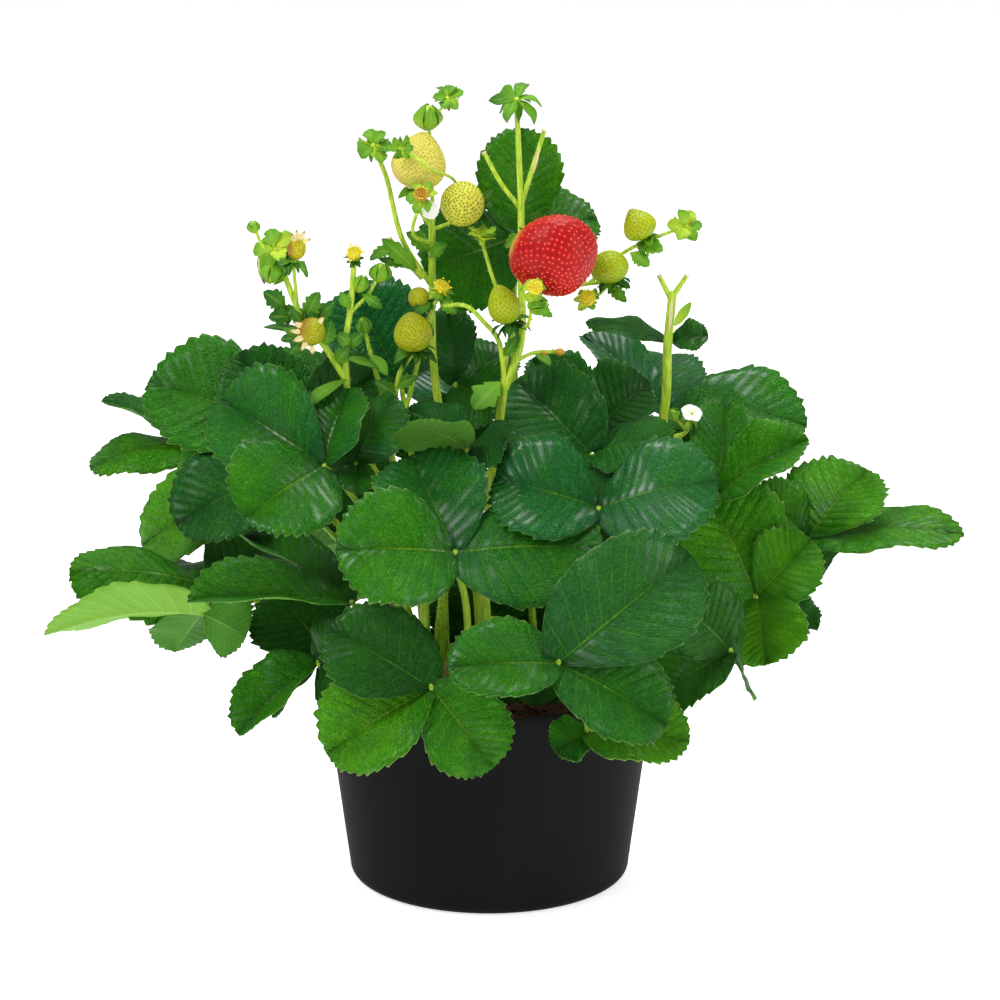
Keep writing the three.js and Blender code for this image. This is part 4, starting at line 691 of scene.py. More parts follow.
def leaf_face_look():
    """Glossy green that pales to its veins and rim, with painted shade darkening it towards the hub. The tint
    map says how fresh it is and how shiny, and the shine also paints a bluish sky reflection into its dark
    green.
    """
    look = Look("leaf_face")
    along, across, off_vein, midrib, side, tip = vein_lines(look)
    fresh, sky = look.map("tint")
    where = look.place()
    blotch = look.speckle(where, 0.11)
    fine = look.speckle(where, 1.4, 4.0)
    net = look.cells(look.join(along * 52 - across * 12, across * 24), 1.0, "DISTANCE_TO_EDGE")
    mesh = 1 - net.smooth(0.0, 0.1)
    # Painted shade: the green darkens towards the hub of the leaf
    inner = (1 - along.smooth(0.0, 0.45)) * 0.16
    age = (fresh + (blotch - 0.5) * 0.6 + (fine - 0.5) * 0.2 - inner).clamped()
    # Painted reflection: the more sky a leaf's gloss shows, the more its dark green turns bluish teal
    deep_with_painted_sheen = look.mix(sky, rgb(18, 70, 4), rgb(18, 94, 42))
    full = look.mix(age.smooth(0.0, 0.55), deep_with_painted_sheen, rgb(32, 110, 5))
    green = look.mix(age.smooth(0.45, 1.0), full, rgb(76, 150, 8))
    ribs = look.mix(age, rgb(78, 142, 30), rgb(150, 192, 46))
    fading = 1 - along.smooth(0.0, 0.95) * 0.8
    lines = (side * 0.24 * fading + midrib * fading * 0.9 + mesh * 0.13).clamped()
    veined = look.mix(lines, green, ribs)
    edge = across.smooth(0.975, 1.0) * 0.2
    rim = look.mix(age, rgb(110, 160, 70), rgb(190, 206, 120))
    pale = look.mix((tip * 0.28 + edge).clamped(), veined, rim)
    quilt = net.smooth(0.0, 0.35)
    height = (off_vein * 3.2).clamped() * 0.6 + fine * 0.25 + quilt * 0.6 - midrib * 0.6
    normal = look.bump(height, 0.75)
    gloss = 0.44 - sky * 0.1 + (fine - 0.5) * 0.12 + lines * 0.08
    patch = look.speckle(where, 0.04, 2.0).smooth(0.42, 0.62)
    crest = off_vein.smooth(0.1, 0.4)
    shine = (sky * 0.85 + 0.15) * patch * (0.2 + crest * 0.8)
    return look.done(
        pale, gloss, normal, Specular_IOR_Level=0.24, Specular_Tint=SHEEN,
        Coat_Weight=shine * 0.8, Coat_Roughness=0.24, Coat_Tint=SKY_TINT,
    )


def leaf_back_look():
    """The paler, duller underside, with raised veins."""
    look = Look("leaf_back")
    along, across, _, midrib, side, _ = vein_lines(look)
    fresh, _ = look.map("tint")
    fine = look.speckle(look.place(), 1.2, 4.0)
    net = look.cells(look.join(along * 40, across * 13), 1.0, "DISTANCE_TO_EDGE")
    mesh = 1 - net.smooth(0.0, 0.12)
    age = (fresh * 0.7 + (fine - 0.5) * 0.3 + 0.1).clamped()
    green = look.mix(age, rgb(38, 106, 14), rgb(134, 190, 66))
    lines = (side * 0.3 + midrib * 0.8 + mesh * 0.1).clamped()
    veined = look.mix(lines, green, look.mix(age, rgb(110, 156, 60), rgb(190, 212, 110)))
    normal = look.bump(side * 0.8 + midrib + mesh * 0.3, 0.25, 0.7)
    return look.done(veined, 0.62 + fine * 0.1, normal, Specular_IOR_Level=0.2)


def stalk_look(name, low, high, red=0.0):
    """Streaks along the stalk between two tones, with a reddish flush in places."""
    look = Look(name)
    where = look.place()
    streak = look.speckle(look.vector("MULTIPLY", where, (1.0, 1.0, 0.12)), 1.1, 4.0)
    patch = look.speckle(where, 0.05)
    green = look.mix(streak.smooth(0.3, 0.7), low, high)
    flushed = look.mix(patch.smooth(0.5, 0.7) * red, green, rgb(150, 90, 50))
    normal = look.bump(streak, 0.15, 0.5)
    return look.done(flushed, 0.42 + streak * 0.15, normal, Specular_IOR_Level=0.3)


def hair_look():
    look = Look("stalk_hair")
    fine = look.speckle(look.place(), 2.0)
    tone = look.mix(fine, rgb(196, 208, 140), rgb(232, 236, 200))
    return look.done(tone, 0.5)


def fruit_look(name, ripe, unripe, spot, cheek=None):
    """
    Skin with another tone round each seed that is painted light and shade, lighter on the raised
    bumps of the red fruit and darker in the sunk dimples of the others, and paler to the calyx end and on
    one cheek. The piece's map holds the share from the tip up and the nearness to a seed.
    """
    look = Look(name)
    up, near = look.map("blade")
    where = look.place()
    blotch = look.speckle(where, 0.13)
    fine = look.speckle(where, 1.6, 4.0)
    change = (up + (blotch - 0.5) * 0.35).smooth(0.6, 1.0)
    skin = look.mix(change, ripe, unripe)
    if cheek:
        point, way, reach, tone = cheek
        off = look.vector("SUBTRACT", where, point)
        dot = look.vector("DOT_PRODUCT", off, way, out=1)
        skin = look.mix((dot / reach + (blotch - 0.5) * 0.5).smooth(0.0, 1.0), skin, tone)
    # Painted light and shade round each seed: lighter on raised bumps, darker in sunk dimples
    painted_seed_shading = look.mix((near * 0.85 + (fine - 0.5) * 0.3).clamped(), skin, spot)
    normal = look.bump(fine, 0.12, 0.5)
    gloss = 0.4 + fine * 0.12
    return look.done(painted_seed_shading, gloss, normal, Coat_Weight=FRUIT_COAT, Specular_IOR_Level=0.2)


def seed_look(name, low, high):
    look = Look(name)
    fine = look.speckle(look.place(), 2.5)
    return look.done(look.mix(fine.smooth(0.3, 0.7), low, high), 0.4, Coat_Weight=0.3)


def ribbed(look, over, count, fine):
    """A bump of fine ribs along a blade."""
    ribs = abs((over * count).maths("FRACT") - 0.5) * 2
    return look.bump(ribs * 0.5 + fine, 0.15, 0.6)


def sepal_look():
    """Young green that pales to its base: the tint map says how yellow it is."""
    look = Look("sepal_green")
    along, over = look.map("blade")
    fresh, _ = look.map("tint")
    fine = look.speckle(look.place(), 1.5, 4.0)
    age = (fresh + (fine - 0.5) * 0.35 + (0.35 - along) * 0.4).clamped()
    dark = look.mix(age.smooth(0.0, 0.5), rgb(34, 98, 16), rgb(100, 160, 28))
    green = look.mix(age.smooth(0.5, 1.0), dark, rgb(186, 212, 52))
    rib = 1 - abs(over * 2 - 1).smooth(0.03, 0.25)
    tone = look.mix(rib * 0.18, green, rgb(176, 204, 80))
    normal = ribbed(look, over, 7, fine)
    return look.done(tone, 0.5 + fine * 0.15, normal, Specular_IOR_Level=0.25)


def petal_look(name, inner, outer, edge):
    """A petal, from its base to its rim: the piece's map holds the share along it."""
    look = Look(name)
    along, over = look.map("blade")
    fine = look.speckle(look.place(), 1.5, 4.0)
    tone = look.mix((along + (fine - 0.5) * 0.5).smooth(0.1, 0.8), inner, outer)
    rimmed = look.mix((along + (fine - 0.5) * 0.3).smooth(0.8, 1.0), tone, edge)
    return look.done(rimmed, 0.55 + fine * 0.15, ribbed(look, over, 9, fine))


def pot_look():
    """Near-black plastic with faint smears and a little dust."""
    look = Look("pot_plastic")
    where = look.place()
    fine = look.speckle(where, 2.2, 5.0)
    smear = look.speckle(look.vector("MULTIPLY", where, (0.03, 0.03, 0.012)), 1.0, 4.0)
    dust = look.speckle(where, 0.6, 6.0, 0.7).smooth(0.62, 0.8)
    tone = look.mix(smear, rgb(18, 19, 19), rgb(26, 27, 27))
    dusty = look.mix(dust * 0.12, tone, rgb(80, 74, 66))
    normal = look.bump(fine, 0.05, 0.5)
    gloss = 0.5 + smear * 0.14 + dust * 0.2
    return look.done(dusty, gloss, normal, Specular_IOR_Level=0.03)


def soil_look():
    """Brown peat with crumbs and bits of straw."""
    look = Look("potting_soil")
    where = look.place()
    lump = look.speckle(where, 0.35, 6.0, 0.65)
    grain = look.speckle(where, 2.4, 5.0, 0.7)
    fibre = look.cells(look.vector("MULTIPLY", where, (0.4, 1.6, 1.0)), 0.8)
    tone = look.mix(lump.smooth(0.3, 0.7), rgb(40, 24, 16), rgb(112, 62, 36))
    crumbs = look.mix((grain.smooth(0.58, 0.8)) * 0.8, tone, rgb(150, 96, 58))
    straw = look.mix((1 - fibre.smooth(0.0, 0.12)) * 0.5, crumbs, rgb(186, 140, 92))
    normal = look.bump(lump + grain * 0.6, 0.9)
    return look.done(straw, 0.85, normal)


def floor_look():
    look = Look("studio_floor")
    soft = look.speckle(look.place(), 0.004)
    tone = look.mix(soft, rgb(243, 243, 243), rgb(249, 249, 249))
    return look.done(tone, 0.7, Emission_Color=tone, Emission_Strength=0.72)


LEAF_FACE = leaf_face_look()
LEAF_BACK = leaf_back_look()
PETIOLE = stalk_look("petiole_green", rgb(104, 150, 22), rgb(170, 204, 52), 0.15)
TRUSS = stalk_look("truss_green", rgb(136, 186, 24), rgb(206, 228, 74), 0.06)
STOCK = stalk_look("crown_stock", rgb(96, 84, 40), rgb(150, 140, 70), 0.8)
CUT_END = stalk_look("cut_stalk_end", rgb(206, 190, 130), rgb(234, 224, 176))
HAIR = hair_look()
RED_SKIN = fruit_look(
    "ripe_red_skin", rgb(158, 2, 6), rgb(196, 50, 14), rgb(230, 36, 26),
    ((11.2, -24, 286), (-0.85, 0.1, 0.35), 3, rgb(190, 170, 70)),
)
PALE_SKIN = fruit_look(
    "pale_skin", rgb(222, 214, 96), rgb(210, 214, 86), rgb(200, 188, 74),
    ((-36, -4, 320), (-0.8, -0.2, -0.5), 8, rgb(190, 130, 60)),
)
OLIVE_SKIN = fruit_look(
    "olive_pale_skin", rgb(214, 214, 74), rgb(206, 210, 80), rgb(170, 170, 40),
    ((-17, -5, 305), (-0.8, -0.2, -0.1), 8, rgb(160, 120, 50)),
)
GREEN_SKIN = fruit_look(
    "unripe_skin", rgb(162, 186, 20), rgb(130, 170, 24), rgb(118, 132, 12),
    ((51, -4, 276), (0.1, 0.1, -1), 8, rgb(50, 96, 14)),
)
PEAR_SKIN = fruit_look("yellow_green_skin", rgb(168, 182, 22), rgb(136, 172, 24), rgb(120, 126, 10))
GOLD_SKIN = fruit_look(
    "golden_skin", rgb(166, 172, 18), rgb(140, 164, 20), rgb(118, 116, 6),
    ((-74, -26, 257), (-0.9, -0.1, 0.4), 7, rgb(150, 100, 24)),
)
BROWN_SKIN = fruit_look(
    "drying_skin", rgb(186, 180, 20), rgb(170, 168, 24), rgb(140, 120, 16),
    ((-82, -23, 290), (-1, 0, 0), 4, rgb(136, 92, 30)),
)
# The pale pink of the red fruit's seeds is partly their own colour and partly a painted glint
PINK_SEED_PAINTED_GLINT = seed_look("pink_seeds_painted_glint", rgb(222, 60, 44), rgb(240, 140, 112))
DARK_SEED = seed_look("dark_olive_seeds", rgb(96, 98, 12), rgb(134, 126, 24))
TAN_SEED = seed_look("tan_seeds", rgb(160, 146, 40), rgb(196, 180, 74))
OLIVE_SEED = seed_look("olive_seeds", rgb(116, 112, 16), rgb(160, 150, 40))
YELLOW = seed_look("flower_yellow", rgb(220, 204, 8), rgb(248, 234, 40))
AMBER = seed_look("amber_centre", rgb(176, 124, 14), rgb(220, 176, 30))
ANTHER = seed_look("anther_yellow", rgb(232, 210, 16), rgb(252, 240, 60))
SEPAL = sepal_look()
WHITE_PETAL = petal_look("white_petal", rgb(232, 236, 200), rgb(246, 246, 240), rgb(250, 250, 248))
YELLOW_RAY = petal_look("yellow_ray", rgb(230, 204, 8), rgb(246, 230, 30), rgb(236, 232, 90))
DRIED_PETAL = petal_look("dried_petal", rgb(232, 222, 150), rgb(226, 208, 150), rgb(150, 84, 40))
POT = pot_look()
SOIL = soil_look()
FLOOR = floor_look()

# Each fruit: skin, seeds, slot, number and size of the seeds, depth of the dimples, and fineness
FRUIT_FORMS = {
    "fruit_red": (RED_SKIN, PINK_SEED_PAINTED_GLINT, "ripe_fruit", 640, 0.85, -0.3, 130),
    "fruit_white_large": (PALE_SKIN, TAN_SEED, "pale_fruit", 760, 0.7, 0.2, 100),
    "fruit_white_medium": (OLIVE_SKIN, DARK_SEED, "pale_fruit", 400, 0.95, 0.4, 96),
    "fruit_pear": (PEAR_SKIN, DARK_SEED, "green_fruit", 260, 0.55, 0.25, 72),
    "fruit_round": (GOLD_SKIN, DARK_SEED, "green_fruit", 360, 0.6, 0.28, 84),
    "fruit_small_brown": (GOLD_SKIN, OLIVE_SEED, "green_fruit", 110, 0.5, 0.15, 44),
    "fruit_left_top": (BROWN_SKIN, OLIVE_SEED, "green_fruit", 80, 0.55, 0.15, 40),
    "fruit_left_egg": (GOLD_SKIN, OLIVE_SEED, "green_fruit", 200, 0.55, 0.2, 60),
    "fruit_right_round": (GREEN_SKIN, DARK_SEED, "green_fruit", 320, 0.6, 0.25, 76),
    "fruit_right_cone": (PEAR_SKIN, OLIVE_SEED, "green_fruit", 210, 0.55, 0.2, 64),
}

# Each flower's centre: number of stamens, how far they reach, and its finish
FLOWER_FORMS = {
    "flower_left": (16, 0.8, YELLOW),
    "flower_middle": (16, 0.8, YELLOW),
    "flower_tall": (10, 0.7, AMBER),
    "flower_front": (12, 0.8, YELLOW),
    "flower_right": (14, 0.8, YELLOW),
}

# Building helpers


def placed(bm, name):
    """Puts a bmesh in the scene as an object."""
    mesh = bpy.data.meshes.new(name)
    bm.to_mesh(mesh)
    bm.free()
    item = bpy.data.objects.new(name, mesh)
    bpy.context.scene.collection.objects.link(item)
    return item


def finished(bm, name, slot_name, nodes, materials, thickness=0, merge=0):
    """Turns a bmesh in millimetres into a piece that stands for these CAD nodes."""
    if merge:
        bmesh.ops.remove_doubles(bm, verts=bm.verts, dist=merge)
    bmesh.ops.transform(bm, matrix=Matrix.Scale(MM, 4), verts=bm.verts)
    piece = placed(bm, name)
    for material in materials:
        piece.data.materials.append(material)
    piece.data.shade_smooth()
    if thickness:
        thick = piece.modifiers.new("thickness", "SOLIDIFY")
        thick.thickness = thickness * MM
        thick.offset = 0
        thick.material_offset = 1
        thick.material_offset_rim = 0
    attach(piece, "root")
    if nodes:
        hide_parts(*nodes)
    return piece


def finished_leaf(bm, name, nodes):
    """A leaf's blade gets its thickness, with its face above and its back below."""
    return finished(bm, name, "leaf", nodes, [LEAF_FACE, LEAF_BACK], BLADE_THICKNESS, SEAM)


def at_share(table, share):
    """The value in a table of (share, value) pairs at a share."""
    for (s0, w0), (s1, w1) in zip(table, table[1:]):
        if share <= s1:
            return w0 + (w1 - w0) * (share - s0) / (s1 - s0)
    return table[-1][1]


def ease(share, low, high):
    """0 below low and 1 above high, with a soft step between."""
    step = min(1, max(0, (share - low) / (high - low)))
    return step * step * (3 - 2 * step)


def axes(facing, along):
    """The side and the up direction of a blade that runs along one way and faces another."""
    side = facing.cross(along).normalized()
    return side, along.cross(side)


def spread(bm, columns, rows, place, tint, material=0):
    """A grid whose points, given by shares along and across, are put in place, with its own maps."""
    verts = bmesh.ops.create_grid(bm, x_segments=columns, y_segments=rows, size=1)["verts"]
    shares = {vert: ((vert.co.x + 1) / 2, vert.co.y) for vert in verts}
    blade_map = bm.loops.layers.uv.get("blade") or bm.loops.layers.uv.new("blade")
    tint_map = bm.loops.layers.uv.get("tint") or bm.loops.layers.uv.new("tint")
    faces = {face for vert in verts for face in vert.link_faces}
    for face in faces:
        face.material_index = material
        for loop in face.loops:
            along, across = shares[loop.vert]
            loop[blade_map].uv = (along, 0.5 + 0.5 * across)
            loop[tint_map].uv = tint
    for vert, (along, across) in shares.items():
        vert.co = place(along, across)


def room_beside(knot, facing, tips, i):
    """How far the next leaflets are on each side of one, from 0 (close) to 1 (far)."""
    along = (Vector(tips[i]) - knot).normalized()
    side, _ = axes(facing, along)
    room = dict(FULL_ROOM)
    for j, tip in enumerate(tips):
        if j != i:
            other = (Vector(tip) - knot).normalized()
            other = (other - facing * other.dot(facing)).normalized()
            angle = math.degrees(math.atan2(other.dot(side), other.dot(along)))
            sign = 1 if angle > 0 else -1
            room[sign] = min(room[sign], ease(abs(angle), CLOSE_LEAFLETS, FAR_LEAFLETS))
    return room


def leaflet(bm, knot, facing, spec, phase, sky, room):
    """One toothed leaflet, pillowed between its side veins, with a groove along its midrib."""
    tip, width, roll, fold, bend, fresh = spec
    tip = Vector(tip)
    base = knot + (tip - knot).normalized() * HUB_RADIUS
    length = (tip - base).length
    along = (tip - base) / length
    flat_side, flat_up = axes(facing, along)
    turn, lift = math.radians(roll), math.radians(fold + MORE_FOLD)
    side = flat_side * math.cos(turn) + flat_up * math.sin(turn)
    up = flat_up * math.cos(turn) - flat_side * math.sin(turn)
    depth = TOOTH_DEPTH * width / USUAL_WIDTH
    wobble = chance.random() * 50

    def surface(a, q, relief):
        s = a / length
        edge = min(1, abs(2 * q / width))
        wave = WAVE_HEIGHT * edge * edge
        wave *= math.sin(WAVE_COUNT * math.pi * s + phase + (0 if q > 0 else SIDE_PHASE))
        rise = bend * length * 4 * s * (1 - s) + abs(q) * math.sin(lift) + wave + relief
        return base + along * a + side * (q * math.cos(lift)) + up * rise

    def place(c, across):
        t = abs(across) ** CROWD_TO_MIDRIB
        hand = 1 if across > 0 else -1
        broad = room[hand]
        shift = TOOTH_STRAY * noise(Vector((c * 5, wobble, hand * 3))) * ease(c, 0, 0.1) * ease(1 - c, 0, 0.1)
        margin = 1 - (1 - c) ** VEIN_SWEEP + shift - SHOULDER_BACK * broad * (1 - c) ** 6
        share_wide = at_share(NARROW_HALF, margin)
        share_wide += (at_share(BROAD_HALF, margin) - share_wide) * broad
        uneven = 1 + UNEVEN * noise(Vector((c * 3, hand * 2, wobble)))
        half = width / 2 * GIRTH * share_wide * uneven
        s = c + (margin - c) * t ** VEIN_CURVE
        share = (c * TEETH) % 1
        rising = share / TOOTH_LEAN if share < TOOTH_LEAN else (1 - share) / (1 - TOOTH_LEAN)
        tooth = depth * rising ** TOOTH_ROUND
        tooth *= ease(c, 0.02, 0.12) * (0.85 + 0.9 * noise(Vector((c * 9, wobble, hand * 5))))
        reach = tooth * t ** TOOTH_RUN_IN
        a = s * length + reach * TOOTH_FORWARD
        q = half * t + reach * TOOTH_OUTWARD * ease(1 - c, 0, 0.1)
        off_vein = abs(share - TOOTH_LEAN)
        off_vein = min(off_vein, 1 - off_vein)
        pillow = math.sin(math.pi * off_vein) ** PILLOW_ROUND - 0.5
        relief = PILLOW * width / USUAL_WIDTH * pillow * ease(t, 0, 0.3) * (1 - 0.5 * ease(t, 0.75, 1))
        relief *= 0.8 + 0.9 * noise(Vector((s * 5, across * 2, wobble + 4)))
        relief *= ease(c, 0, 0.1) * ease(1 - c, 0, 0.08)
        relief -= RIB_GROOVE * math.exp(-(q / RIB_HALF_WIDTH) ** 2) * ease(1 - c, 0, 0.2)
        relief += SWELL * noise(Vector((s * 3, across * 1.6, wobble))) * ease(t, 0, 0.5)
        return surface(min(a, length), math.copysign(q, across), relief)

    spread(bm, TEETH * TOOTH_STEPS, ACROSS_STEPS, place, (fresh, sky))


def leaf(name, order):
    """A leaf's leaflets round its hub."""
    at, facing, _, _, sky, leaflets = LEAVES[name]
    bm = bmesh.new()
    knot, facing = Vector(at), Vector(facing).normalized()
    tips = [spec[0] for spec in leaflets]
    for i, spec in enumerate(leaflets):
        leaflet(bm, knot, facing, spec, order + 2 * i, sky, room_beside(knot, facing, tips, i))
    return finished_leaf(bm, name, [name])


def cut_stalk_leaf():
    """The two small leaves on the cut flower stalk."""
    bm = bmesh.new()
    for phase, (facing, spec) in enumerate(CUT_STALK_LEAFLETS, 1):
        facing = Vector(facing).normalized()
        leaflet(bm, Vector(CUT_STALK_HUB), facing, spec, phase, CUT_STALK_SKY, SOME_ROOM)
    return finished_leaf(bm, "leaf_cut_stalk", ["leaf_cut_stalk"])


def bezier(p0, p1, p2, p3, steps):
    """Points along a curve that leaves p0 for p1 and comes to p3 from p2."""
    for i in range(steps + 1):
        t = i / steps
        u = 1 - t
        yield p0 * u ** 3 + p1 * 3 * u * u * t + p2 * 3 * u * t * t + p3 * t ** 3


def smooth_path(points, steps):
    """Points along a soft curve through these points."""
    knots = [Vector(point) for point in points]
    knots = [knots[0] * 2 - knots[1], *knots, knots[-1] * 2 - knots[-2]]
    path = []
    for a, b, c, d in zip(knots, knots[1:], knots[2:], knots[3:]):
        t1 = (b - a).length ** 0.5
        t2 = t1 + (c - b).length ** 0.5
        t3 = t2 + (d - c).length ** 0.5
        for i in range(steps):
            t = t1 + (t2 - t1) * i / steps
            ab = a * ((t1 - t) / t1) + b * (t / t1)
            bc = b * ((t2 - t) / (t2 - t1)) + c * ((t - t1) / (t2 - t1))
            cd = c * ((t3 - t) / (t3 - t2)) + d * ((t - t2) / (t3 - t2))
            left = ab * ((t2 - t) / t2) + bc * (t / t2)
            right = bc * ((t3 - t) / (t3 - t1)) + cd * ((t - t1) / (t3 - t1))
            path.append(left * ((t2 - t) / (t2 - t1)) + right * ((t - t1) / (t2 - t1)))
    return [*path, knots[-2]]


def rod(bm, path, widths, material):
    """A round stalk along a path, with its own width at each point."""
    curve = bpy.data.curves.new("rod", "CURVE")
    curve.dimensions = "3D"
    curve.bevel_depth = 1
    curve.bevel_resolution = ROD_FINENESS
    curve.use_fill_caps = True
    spline = curve.splines.new("POLY")
    spline.points.add(len(path) - 1)
    for knot, point, width in zip(spline.points, path, widths):
        knot.co = (*point, 1)
        knot.radius = width / 2
    holder = bpy.data.objects.new("rod", curve)
    mesh = bpy.data.meshes.new_from_object(holder)
    mesh.polygons.foreach_set("material_index", [material] * len(mesh.polygons))
    bm.from_mesh(mesh)
    bpy.data.objects.remove(holder)
    bpy.data.curves.remove(curve)
    bpy.data.meshes.remove(mesh)


def frame_along(direction):
    """A turn that takes up (+Z) to a direction."""
    return Vector((0, 0, 1)).rotation_difference(direction).to_matrix().to_4x4()


def standing(place, direction):
    """A place, with up (+Z) turned to a direction."""
    return Matrix.Translation(place) @ frame_along(direction)


def round_axis(radius, angle, height=0):
    """The point at this radius, angle and height round the Z axis."""
    return Vector((radius * math.cos(angle), radius * math.sin(angle), height))


def across_axes(out):
    """Two directions at right angles to an axis and to each other."""
    side = (Vector((1, 0, 0)) if abs(out.z) > 0.9 else Vector((0, 0, 1))).cross(out).normalized()
    return side, out.cross(side)


def on_spiral(i, height):
    """The point of a golden spiral round a ball of radius 1."""
    return round_axis(math.sqrt(1 - height * height), i * GOLDEN_ANGLE, height)


def added(bm, part, material):
    """Adds a small bmesh to a larger one."""
    for face in part.faces:
        face.material_index = material
    mesh = bpy.data.meshes.new("part")
    part.to_mesh(mesh)
    part.free()
    bm.from_mesh(mesh)
    bpy.data.meshes.remove(mesh)


def hairs(bm, path, widths, material, per_mm):
    """Fine pale hairs that stand out from a stalk and lean to its end."""
    part = bmesh.new()
    for a, b, wide in zip(path, path[1:], widths):
        run = b - a
        along = run.normalized()
        count = run.length * per_mm
        for _ in range(int(count) + (chance.random() < count % 1)):
            out = along.orthogonal().normalized()
            out.rotate(Matrix.Rotation(chance.uniform(0, 2 * math.pi), 3, along))
            tall = HAIR_LENGTH * chance.uniform(0.5, 1)
            lean = (out + along * chance.uniform(-0.1, 0.6)).normalized()
            root = a + run * chance.random() + out * wide * HAIR_ROOT
            bmesh.ops.create_cone(
                part, segments=3, radius1=HAIR_DIAMETER / 2, radius2=0.01, depth=tall, cap_ends=False,
                matrix=standing(root + lean * tall / 2, lean),
            )
    added(bm, part, material)


def tapering(count, first, last):
    """Widths that change evenly from the first to the last."""
    return [first + (last - first) * i / (count - 1) for i in range(count)]


def petiole_path(name):
    """A leaf stalk, from the edge of its crown up in an arch to its leaf."""
    at, _, side, arch, _, _ = LEAVES[name]
    bow_x, bow_y = STALK_BOWS.get(name, (0, 0))
    x, y, z = at
    centre_x, centre_y = CROWNS[side]
    reach = PETIOLE_CIRCLE / math.hypot(x - centre_x, y - centre_y)
    root = Vector((centre_x + (x - centre_x) * reach, centre_y + (y - centre_y) * reach, PETIOLE_ROOT))

    def between(out, up, lift):
        place = root.lerp(Vector(at), out)
        return Vector((place.x + bow_x, place.y + bow_y, CROWN_TOP + (z - CROWN_TOP) * up + lift))

    return list(bezier(root, between(0.12, 0.5, 0), between(0.7, 0.8, arch), Vector(at), PETIOLE_STEPS))


def crown(side):
    """A short scaly stock and the hairy stalks that it carries."""
    bm = bmesh.new()
    radius = CROWN_DIAMETER / 2
    profile = (
        (0.01, CROWN_FOOT), (radius - 3, CROWN_FOOT), (radius, CROWN_FOOT + 7),
        (radius - 1, CROWN_TOP - 5), (radius - 6, CROWN_TOP), (0.01, CROWN_TOP + 1),
    )
    turned(bm, profile, CROWN_TURNS, 1, Vector((*CROWNS[side], 0)))
    for name, (at, facing, on, _, _, _) in LEAVES.items():
        if on != side:
            continue
        path = petiole_path(name)
        widths = tapering(len(path), *PETIOLE_ENDS)
        rod(bm, path, widths, 0)
        hairs(bm, path, widths, 2, PETIOLE_HAIRS_PER_MM)
        knob(bm, Vector(at) - Vector(facing).normalized() * HUB_SINK, HUB_KNOB, 0)
    young = bmesh.new()
    for root, hub, facing, leaflets in YOUNG_LEAVES[side]:
        root, hub, facing = Vector(root), Vector(hub), Vector(facing).normalized()
        path = smooth_path((root, root.lerp(hub, 0.6) + Vector((0, 0, 1)), hub), YOUNG_STALK_STEPS)
        rod(bm, path, tapering(len(path), *YOUNG_STALK_ENDS), 0)
        for i, (tip, width) in enumerate(leaflets):
            leaflet(young, hub, facing, (tip, width, *YOUNG_FORM), i, YOUNG_SKY, SOME_ROOM)
    finished_leaf(young, f"young_leaf_{side}", [])
    name = f"crown_{side}"
    return finished(bm, name, "leaf_stalk", [name], [PETIOLE, STOCK, HAIR])


def knob(bm, centre, radius, material, stretch=(1, 1, 1), turn=None):
    """A small rounded lump."""
    part = bmesh.new()
    matrix = Matrix.Translation(centre) @ (turn or Matrix()) @ Matrix.Diagonal((*stretch, 1))
    bmesh.ops.create_uvsphere(part, u_segments=12, v_segments=8, radius=radius, matrix=matrix)
    added(bm, part, material)


def turned(bm, profile, turns, material, centre=None):
    """A body spun from a profile of radius and height."""
    part = bmesh.new()
    verts = [part.verts.new((r, 0, z)) for r, z in profile]
    edges = [part.edges.new(pair) for pair in zip(verts, verts[1:])]
    bmesh.ops.spin(
        part, geom=verts + edges, cent=(0, 0, 0), axis=(0, 0, 1), angle=2 * math.pi, steps=turns,
        use_merge=True,
    )
    bmesh.ops.remove_doubles(part, verts=part.verts, dist=0.05)
    bmesh.ops.recalc_face_normals(part, faces=part.faces)
    if centre:
        bmesh.ops.translate(part, verts=part.verts, vec=centre)
    added(bm, part, material)


def blade(bm, base, tip, facing, width, material=0, arch=0.1, cup=0.2, fullness=0.45, steps=(10, 4),
          fresh=0.5, teeth=0, ragged=0.06):
    """A simple blade, such as a sepal, a bract or a petal. Its widest place is at the share fullness."""
    base, tip = Vector(base), Vector(tip)
    length = (tip - base).length
    along = (tip - base) / length
    side, up = axes(Vector(facing), along)
    wobble = chance.random() * 50
    power = math.log(0.5) / math.log(fullness)

    def place(c, across):
        rounded = math.sin(math.pi * c ** power) ** 0.75
        half = width / 2 * max(rounded, 0.18 * (1 - c))
        if teeth:
            notch = (c * teeth) % 1
            half *= 0.78 + 0.42 * notch ** 0.7
        half *= 1 + 3 * ragged * noise(Vector((c * 4, 5 if across > 0 else 9, wobble)))
        rise = arch * length * 4 * c * (1 - c) + cup * half * across * across
        rise += ragged * width * noise(Vector((c * 3, across, wobble)))
        forward = 0.1 * length * abs(across) ** 3 * ((c * teeth) % 1) if teeth else 0
        return base + along * (c * length + forward * (1 - c)) + side * (half * across) + up * rise

    spread(bm, *steps, place, (fresh, 0), material)


